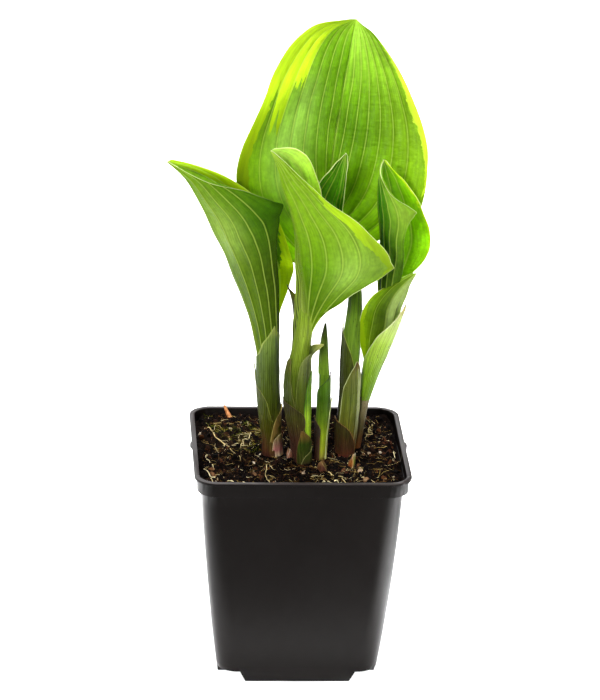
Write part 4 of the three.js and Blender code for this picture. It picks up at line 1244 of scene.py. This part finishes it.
# A stem has its path, radii and colours by height. A sleeve has its free edges as (height, left,
# right), angles in degrees from the front, its colours from foot to tip and the colour of its edges.
# It follows its stem's path and radii unless it has its own. Swell widens its middle, flare opens
# its tip and curl turns the tip outward; blush is how purple its foot is, and edge_width how far
# its dry edges reach in.
SHOOTS = {
    "shoot_left": dict(
        path=[(-12, -4, 106), (-14.5, -4, 121), (-16, -4, 138), (-17.2, -4, 155),
              (-18.5, -4.5, 170), (-27, -6.5, 189)],
        radii=[3.0, 4.1, 5.1, 5.2, 4.4, 0.9],
        palette=[(112, (84, 70, 40)), (124, (70, 76, 20)), (142, (76, 96, 22)), (160, (96, 126, 30)),
                 (175, (110, 140, 26)), (210, (120, 160, 30))],
        sheaths=[
            dict(path=[(-14, -4, 119), (-15.9, -4, 136), (-17, -4.2, 153), (-17.5, -5.6, 169),
                       (-17.6, -7, 184)],
                 radii=[4.8, 5.6, 5.7, 5.6, 5.4], edge=(160, 176, 84), edge_width=0.8,
                 edges=[(SOIL_LINE, -175, 185), (150, -175, 180), (160, -170, 170), (164, -105, 165),
                        (168, -56, 150), (174, -32, 110), (178, -6, 78), (181, 10, 58), (184, 28, 36)],
                 palette=[(0, (84, 58, 32)), (0.2, (66, 66, 10)), (0.45, (66, 80, 12)), (0.75, (80, 100, 36)),
                          (0.9, (100, 122, 50)), (1, (150, 160, 80))]),
            # this dark sleeve down the stem's right side is partly a sheath margin and partly painted shade
            # along the stem's right edge
            dict(edge=(46, 34, 42), flare=0, blush=0.3,
                 edges=[(SOIL_LINE, 70, 135), (140, 76, 140), (165, 80, 140), (176, 84, 120), (180, 92, 100)],
                 palette=[(0, (70, 50, 38)), (0.5, (56, 60, 30)), (1, (62, 52, 50))]),
            dict(edge=(132, 140, 56), flare=0.9,
                 edges=[(SOIL_LINE, -185, 60), (128, -180, 20), (135, -175, 2), (142, -160, -12),
                        (147.5, -140, -42), (150, -125, -74), (156, -112, -84), (161, -98, -90)],
                 palette=[(0, (96, 68, 46)), (0.3, (74, 72, 22)), (0.6, (72, 84, 20)), (0.8, (70, 74, 30)),
                          (1, (40, 28, 36))]),
            dict(edge=(176, 158, 92), flare=0.5,
                 edges=[(SOIL_LINE, -20, 200), (118, -14, 195), (125.6, 6, 180), (130.8, 23, 160),
                        (134, 40, 140), (137, 74, 120), (138.8, 92, 100)],
                 palette=[(0, (128, 94, 70)), (0.35, (112, 92, 44)), (0.7, (128, 106, 50)),
                          (1, (150, 130, 64))]),
            dict(edge=(206, 186, 146), flare=0.6, blush=0.6,
                 edges=[(SOIL_LINE, -22, 112), (114, -8, 110), (118, 2, 104), (121, 14, 88), (123.5, 40, 64)],
                 palette=[(0, (214, 196, 152)), (0.3, (176, 112, 106)), (0.7, (158, 128, 96)),
                          (1, (150, 140, 76))]),
        ]),
    "shoot_centre": dict(
        path=[(1.6, -14, 106), (-0.2, -15, 124), (-1.9, -15, 141), (-2.4, -15.5, 158),
              (-1.2, -16, 173), (0.2, -18.5, 190), (-1.2, -21.5, 208)],
        radii=[2.7, 4.4, 6.0, 6.3, 4.8, 3.9, 0.9],
        palette=[(112, (70, 50, 26)), (140, (58, 66, 10)), (160, (66, 82, 12)), (172, (104, 126, 30)),
                 (185, (124, 148, 38)), (210, (128, 166, 30))],
        sheaths=[
            dict(edge=(120, 124, 60), swell=0.6, edge_width=0.2,
                 edges=[(SOIL_LINE, -200, 0), (140, -185, -12), (152, -175, -26), (160, -135, -36),
                        (165, -100, -43), (168.5, -72, -52)],
                 palette=[(0, (60, 40, 26)), (0.3, (60, 46, 14)), (0.6, (50, 60, 4)), (0.85, (56, 70, 6)),
                          (1, (90, 88, 34))]),
            dict(edge=(140, 152, 74), curl=5.4, blush=0.8, edge_width=0.12,
                 edges=[(SOIL_LINE, -30, 200), (140, -16, 200), (150, -9, 198), (160, -4, 190), (165.5, 1, 178),
                        (170.6, 19, 155), (174, 40, 136), (175.8, 66, 114), (177.2, 86, 95)],
                 palette=[(0, (64, 50, 24)), (0.35, (66, 68, 12)), (0.65, (62, 76, 12)), (0.82, (80, 90, 40)),
                          (0.93, (116, 128, 66)), (1, (150, 152, 66))]),
            dict(edge=(44, 92, 10), flare=0.1, blush=0.0,
                 edges=[(117, 54, 62), (122, 40, 84), (130, 27, 98), (140, 24, 108), (150, 32, 104),
                        (156.5, 42, 100), (161.5, 62, 86)],
                 palette=[(0, (136, 168, 38)), (0.45, (150, 188, 40)), (0.66, (84, 124, 16)),
                          (1, (72, 100, 22))]),
            dict(edge=(110, 102, 46), flare=0.3, edge_width=0.2,
                 edges=[(SOIL_LINE, -200, 20), (128, -190, 14), (133, -180, 27), (138.4, -170, 24),
                        (141.5, -150, 2), (144.5, -125, -32), (146.5, -100, -80)],
                 palette=[(0, (50, 34, 24)), (0.4, (62, 42, 28)), (0.75, (58, 58, 16)), (1, (46, 38, 24))]),
            dict(edge=(112, 84, 52), flare=0.2, blush=0.2, edge_width=0.2,
                 edges=[(SOIL_LINE, -40, 130), (118, -30, 112), (123.5, -16, 76), (127.5, -4, 42),
                        (130.5, 4, 14)],
                 palette=[(0, (46, 54, 16)), (0.6, (42, 62, 12)), (1, (120, 90, 44))]),
            dict(edge=(150, 146, 92), flare=0.2, blush=0.1, edge_width=0.25,
                 edges=[(SOIL_LINE, -10, 132), (115.8, 16, 126), (118.5, 62, 112), (120, 84, 92)],
                 palette=[(0, (46, 42, 20)), (0.5, (50, 62, 18)), (1, (66, 84, 26))]),
        ]),
    "shoot_back": dict(
        path=[(-1, 1.5, 106), (-2, 1.5, 128), (-2.5, 2, 150), (-1.5, 5, 174),
              (2, 11, 194), (8, 16.5, 209), (11, 22, 229)],
        radii=[3.2, 3, 2.9, 2.7, 2.5, 2, 0.8],
        palette=[(112, (54, 40, 30)), (150, (74, 80, 36)), (200, (100, 130, 30)), (229, (120, 170, 20))],
        sheaths=[
            dict(path=[(-2.0, 2, 150), (-1.7, 3.5, 170), (-2.0, 5, 184), (-3.4, 6, 193), (-6.3, 7, 200.2)],
                 radii=[2.7, 2.1, 2.0, 2.0, 1.5], edge=(46, 42, 34), flare=0.1, blush=0.0,
                 edges=[(151, -185, 150), (170, -175, 120), (184, -165, 90), (193, -150, 50),
                        (199.5, -110, -60)],
                 palette=[(0, (60, 64, 26)), (0.6, (92, 96, 54)), (0.8, (72, 72, 42)), (0.93, (110, 112, 30)),
                          (1, (44, 40, 34))]),
        ]),
    "spear": dict(
        path=[(10.7, -10, 106), (10.7, -10, 121), (11.2, -10, 136), (11.5, -10, 151),
              (11, -10, 164), (11, -10, 176), (11.5, -10, 185)],
        radii=[2.2, 2.5, 2.9, 2.8, 2.5, 1.7, 0.3],
        palette=[(112, (160, 150, 70)), (125, (110, 124, 36)), (150, (84, 120, 14)), (170, (100, 136, 28)),
                 (178, (70, 90, 26)), (185, (44, 52, 20))],
        sheaths=[
            dict(edge=(60, 70, 20), flare=0.0, blush=0.0,
                 edges=[(158, -150, 60), (168, -140, 44), (176, -130, 10), (182, -112, -46), (184.8, -96, -82)],
                 palette=[(0, (100, 134, 28)), (0.5, (88, 116, 26)), (0.8, (54, 62, 22)), (1, (36, 32, 26))]),
            dict(edge=(34, 26, 34), flare=0.2, blush=0.0,
                 edges=[(SOIL_LINE, -160, 170), (138, -130, 160), (149, -70, 150), (152.5, -24, 140),
                        (156, 34, 118), (158.8, 84, 96)],
                 palette=[(0, (130, 116, 50)), (0.12, (150, 160, 40)), (0.28, (150, 176, 36)),
                          (0.45, (90, 118, 22)), (0.7, (58, 92, 7)), (0.9, (76, 112, 20)), (1, (40, 44, 26))]),
            dict(edge=(200, 208, 150), flare=0.9, blush=0.0,
                 edges=[(SOIL_LINE, 44, 150), (130, 50, 140), (140, 66, 120), (146.8, 84, 94)],
                 palette=[(0, (190, 184, 104)), (0.4, (170, 186, 100)), (0.9, (186, 196, 130)),
                          (1, (60, 56, 50))]),
            dict(edge=(120, 104, 60), flare=0.4, edge_width=0.2,
                 edges=[(SOIL_LINE, -170, -14), (122, -160, -12), (127, -150, -12), (129.5, -130, -18),
                        (132.5, -110, -50), (135, -95, -84)],
                 palette=[(0, (56, 44, 22)), (0.4, (50, 42, 30)), (1, (52, 46, 40))]),
        ]),
    "shoot_right_centre": dict(
        path=[(23.8, -1, 106), (24.2, 0, 123), (25, 0, 141), (25.2, 0, 158),
              (25.6, 0, 173), (26.6, 0, 190), (26, 1, 204), (21, 4, 220)],
        radii=[3.5, 4.7, 4.6, 4.7, 4.6, 3.9, 2.8, 0.8],
        palette=[(112, (96, 44, 24)), (130, (74, 80, 22)), (160, (84, 112, 26)), (180, (84, 114, 26)),
                 (220, (70, 104, 12))],
        sheaths=[
            dict(edge=(148, 168, 60), flare=0.5,
                 edges=[(SOIL_LINE, -190, 60), (150, -180, 34), (162, -170, 13), (168.7, -155, -12),
                        (174, -135, -42), (179, -110, -76), (181.4, -97, -88)],
                 palette=[(0, (96, 44, 24)), (0.3, (48, 52, 9)), (0.8, (52, 62, 10)), (0.95, (60, 70, 20)),
                          (1, (34, 26, 26))]),
            dict(edge=(30, 24, 28), flare=0.4, blush=0.3,
                 edges=[(120, -120, -74), (150, -120, -72), (172, -116, -76), (180, -98, -88)],
                 palette=[(0, (40, 28, 24)), (1, (36, 30, 30))]),
            dict(edge=(206, 214, 150), flare=0.3, blush=0.5, edge_width=0.3,
                 edges=[(SOIL_LINE, -70, 82), (128, -52, 78), (145, -42, 74), (151.4, -22, 72), (156.6, 0, 66),
                        (159.6, 16, 52), (162.2, 28, 38)],
                 palette=[(0, (150, 88, 30)), (0.12, (104, 74, 24)), (0.25, (84, 84, 22)), (0.6, (82, 94, 28)),
                          (0.88, (98, 104, 42)), (1, (74, 40, 20))]),
            dict(edge=(176, 184, 130), flare=0.3, blush=0.2, edge_width=0.15,
                 edges=[(119, 44, 70), (131, 46, 76), (145, 45, 76), (154, 44, 66), (158, 42, 52)],
                 palette=[(0, (100, 80, 40)), (0.3, (156, 164, 98)), (0.8, (168, 178, 114)),
                          (1, (84, 84, 60))]),
            dict(edge=(150, 112, 60), flare=0.4, blush=0.5,
                 edges=[(SOIL_LINE, -190, 60), (118, -180, 46), (121.8, -170, 29), (125, -150, 11),
                        (128, -125, -24), (130.8, -100, -88)],
                 palette=[(0, (70, 40, 20)), (0.2, (46, 34, 12)), (0.7, (44, 44, 12)), (1, (50, 40, 26))]),
        ]),
    "shoot_right": dict(
        path=[(29.5, 6, 106), (31, 5, 120), (33, 4, 138), (36, 3, 154),
              (40, 2, 170), (42.5, 2, 186), (42, 2, 198), (39.5, 1, 212)],
        radii=[1.4, 1.8, 2.3, 3, 3.2, 3.2, 2.6, 0.8],
        palette=[(112, (110, 60, 30)), (138, (96, 100, 40)), (150, (92, 146, 14)), (190, (100, 150, 16)),
                 (212, (84, 130, 12))],
        sheaths=[
            dict(edge=(214, 218, 166), edge_width=0.6, flare=1.0, swell=2.2, blush=0.0,
                 path=[(33, 4, 138), (36, 2.4, 154), (40, -1.2, 170), (46, -4.6, 186), (50.8, -6, 197)],
                 radii=[2.5, 2.7, 3.4, 2.8, 1.8],
                 edges=[(137, -190, 170), (150, -165, 170), (158, -120, 168), (164.8, -76, 165),
                        (171, -60, 160), (177.2, -46, 150), (186.5, 6, 120), (191.5, 22, 70), (195, 36, 44)],
                 palette=[(0, (96, 132, 16)), (0.3, (110, 148, 24)), (0.6, (152, 184, 62)),
                          (0.85, (184, 202, 116)), (0.95, (176, 158, 90)), (1, (70, 48, 34))]),
            dict(edge=(72, 60, 46), flare=0.3, blush=0.2,
                 edges=[(SOIL_LINE, -180, 180), (125, -178, 178), (139.6, -176, 176), (140.4, -160, 160)],
                 palette=[(0, (136, 80, 38)), (0.4, (102, 92, 54)), (0.9, (124, 114, 76)), (1, (76, 62, 48))]),
        ]),
    "bud_front": dict(
        path=[(10.7, -24, 108), (10.7, -24, 111), (10.8, -24, 113.5), (11, -24, 116)],
        radii=[2.2, 2.5, 1.8, 0.2], palette=[(110, (64, 40, 14)), (113, (104, 92, 24)), (116, (150, 112, 60))],
        sheaths=[
            dict(edge=(150, 130, 80), edges=[(109, -150, 60), (113, -130, 30), (115.6, -60, -30)],
                 palette=[(0, (72, 44, 18)), (0.6, (88, 58, 26)), (1, (170, 126, 76))]),
        ]),
    "bud_small": dict(
        path=[(-5, -6.5, 108), (-5, -6.5, 110.5), (-5.3, -7, 113.5), (-5.8, -7.4, 116)],
        radii=[1.2, 1.5, 1.1, 0.2],
        palette=[(110, (120, 70, 56)), (113, (206, 150, 120)), (116, (150, 120, 60))],
        sheaths=[
            dict(edge=(222, 200, 170), edges=[(109, -60, 150), (113, -20, 120), (115.6, 30, 60)],
                 palette=[(0, (150, 84, 70)), (1, (196, 150, 120))]),
        ]),
}


# A green sprout at the foot of the right centre shoot, with a dry husk round it
SPROUT_TIP = dict(
    path=[(26.2, -14.6, 107), (26.6, -14.8, 110.4), (27.4, -14.8, 113.4), (28.2, -14.8, 116.2)],
    radii=[1.7, 1.7, 1.0, 0.2],
    palette=[(109, (70, 92, 20)), (112, (150, 176, 60)), (114.4, (206, 196, 120)), (116, (240, 226, 190))],
    sheaths=[
        dict(edge=(232, 190, 120), edges=[(108, -170, 20), (112, -150, 6), (115.6, -110, -60)],
             palette=[(0, (130, 60, 22)), (0.6, (176, 110, 50)), (1, (236, 206, 160))]),
    ])


def make_plant():
    """The blades, the shoots with their sheaths, the buds and the green sprout."""
    lamina = lamina_finish()
    skin = stem_finish()
    dressed(stem_piece("green_sprout", SPROUT_TIP), skin, "young_shoot")
    dressed(sheath_piece("green_sprout_husk", SPROUT_TIP, SPROUT_TIP["sheaths"][0], 0), skin, "young_shoot")
    for name, leaf in BLADES.items():
        dressed(blade_piece(name, leaf), lamina, "leaf", leaf["node"])
    for node, shoot in SHOOTS.items():
        slot = "leaf" if node.startswith("shoot") else "young_shoot"
        dressed(stem_piece(node + "_stem", shoot), skin, slot, node)
        for layer, sleeve in enumerate(shoot["sheaths"]):
            piece = sheath_piece(f"{node}_sheath_{layer + 1}", shoot, sleeve, layer)
            dressed(piece, skin, slot, node)


def make_twig(finish):
    """The split twig: a tapering sliver with a broken top."""
    points, _ = tube_points(TWIG_PATH, TWIG_RADII, TWIG_ROWS, TWIG_SIDES, TWIG_GROOVES)
    piece = piece_of("twig_sliver", points, tube_quads(TWIG_ROWS, TWIG_SIDES))
    dressed(piece, finish, "twig", "twig")


# Stage
def make_floor():
    half = FLOOR_HALF
    points = [(-half, -half, 0), (half, -half, 0), (half, half, 0), (-half, half, 0)]
    floor = piece_of("floor", points, [[0, 1, 2, 3]])
    finish = Finish("pale_floor", Roughness=0.9, Specular_IOR_Level=0.1)
    cloud = finish.noise(finish.place(), 3, 2)
    paper = finish.blend(cloud, srgb(250, 250, 250), srgb(253, 253, 253))
    floor.data.materials.append(finish.wear(Base_Color=paper).material)


def make_light(name, place, aim, width, height, watts, spread):
    """A soft panel of light that shines into a cone of spread degrees."""
    light = bpy.data.lights.new(name, "AREA")
    light.shape = "RECTANGLE"
    light.size = width * MM
    light.size_y = height * MM
    light.energy = watts
    light.spread = math.radians(spread)
    panel = bpy.data.objects.new(name, light)
    bpy.context.scene.collection.objects.link(panel)
    start = Vector(place) * MM
    away = Vector(aim) * MM - start
    panel.matrix_world = Matrix.Translation(start) @ away.to_track_quat("-Z", "Y").to_matrix().to_4x4()


def make_sky():
    world = bpy.data.worlds.new("studio")
    world.use_nodes = True
    sky = world.node_tree.nodes["Background"]
    sky.inputs["Color"].default_value = (1, 1, 1, 1)
    sky.inputs["Strength"].default_value = SKY_STRENGTH
    bpy.context.scene.world = world


def make_camera():
    turn, tilt, roll = (math.radians(angle) for angle in (CAMERA_TURN, CAMERA_TILT, CAMERA_ROLL))
    back = Vector((math.sin(turn) * math.cos(tilt), -math.cos(turn) * math.cos(tilt), math.sin(tilt)))
    right = (-back).cross(Vector((0, 0, 1))).normalized()
    up = right.cross(-back)
    rolled_right = right * math.cos(roll) + up * math.sin(roll)
    rolled_up = up * math.cos(roll) - right * math.sin(roll)
    lens = bpy.data.cameras.new("camera")
    lens.lens = CAMERA_LENS
    lens.sensor_width = 36
    camera = bpy.data.objects.new("camera", lens)
    bpy.context.scene.collection.objects.link(camera)
    axes = Matrix((rolled_right, rolled_up, back)).transposed()
    place = Vector(CAMERA_AIM) * MM + back * CAMERA_DISTANCE * MM
    camera.matrix_world = Matrix.Translation(place) @ axes.to_4x4()
    bpy.context.scene.camera = camera


make_camera()
make_floor()
make_sky()
for panel, placing in LIGHTS.items():
    make_light(panel, *placing)
bpy.context.scene.view_settings.view_transform = "Standard"

make_pot(pot_finish())
make_soil(soil_finish())
fibre_skin = litter_finish("root_fibre", FIBRE, (0.5, 0.7), 400)
make_litter(fibre_skin)
make_roots(fibre_skin)
make_twig(twig_finish())
make_plant()
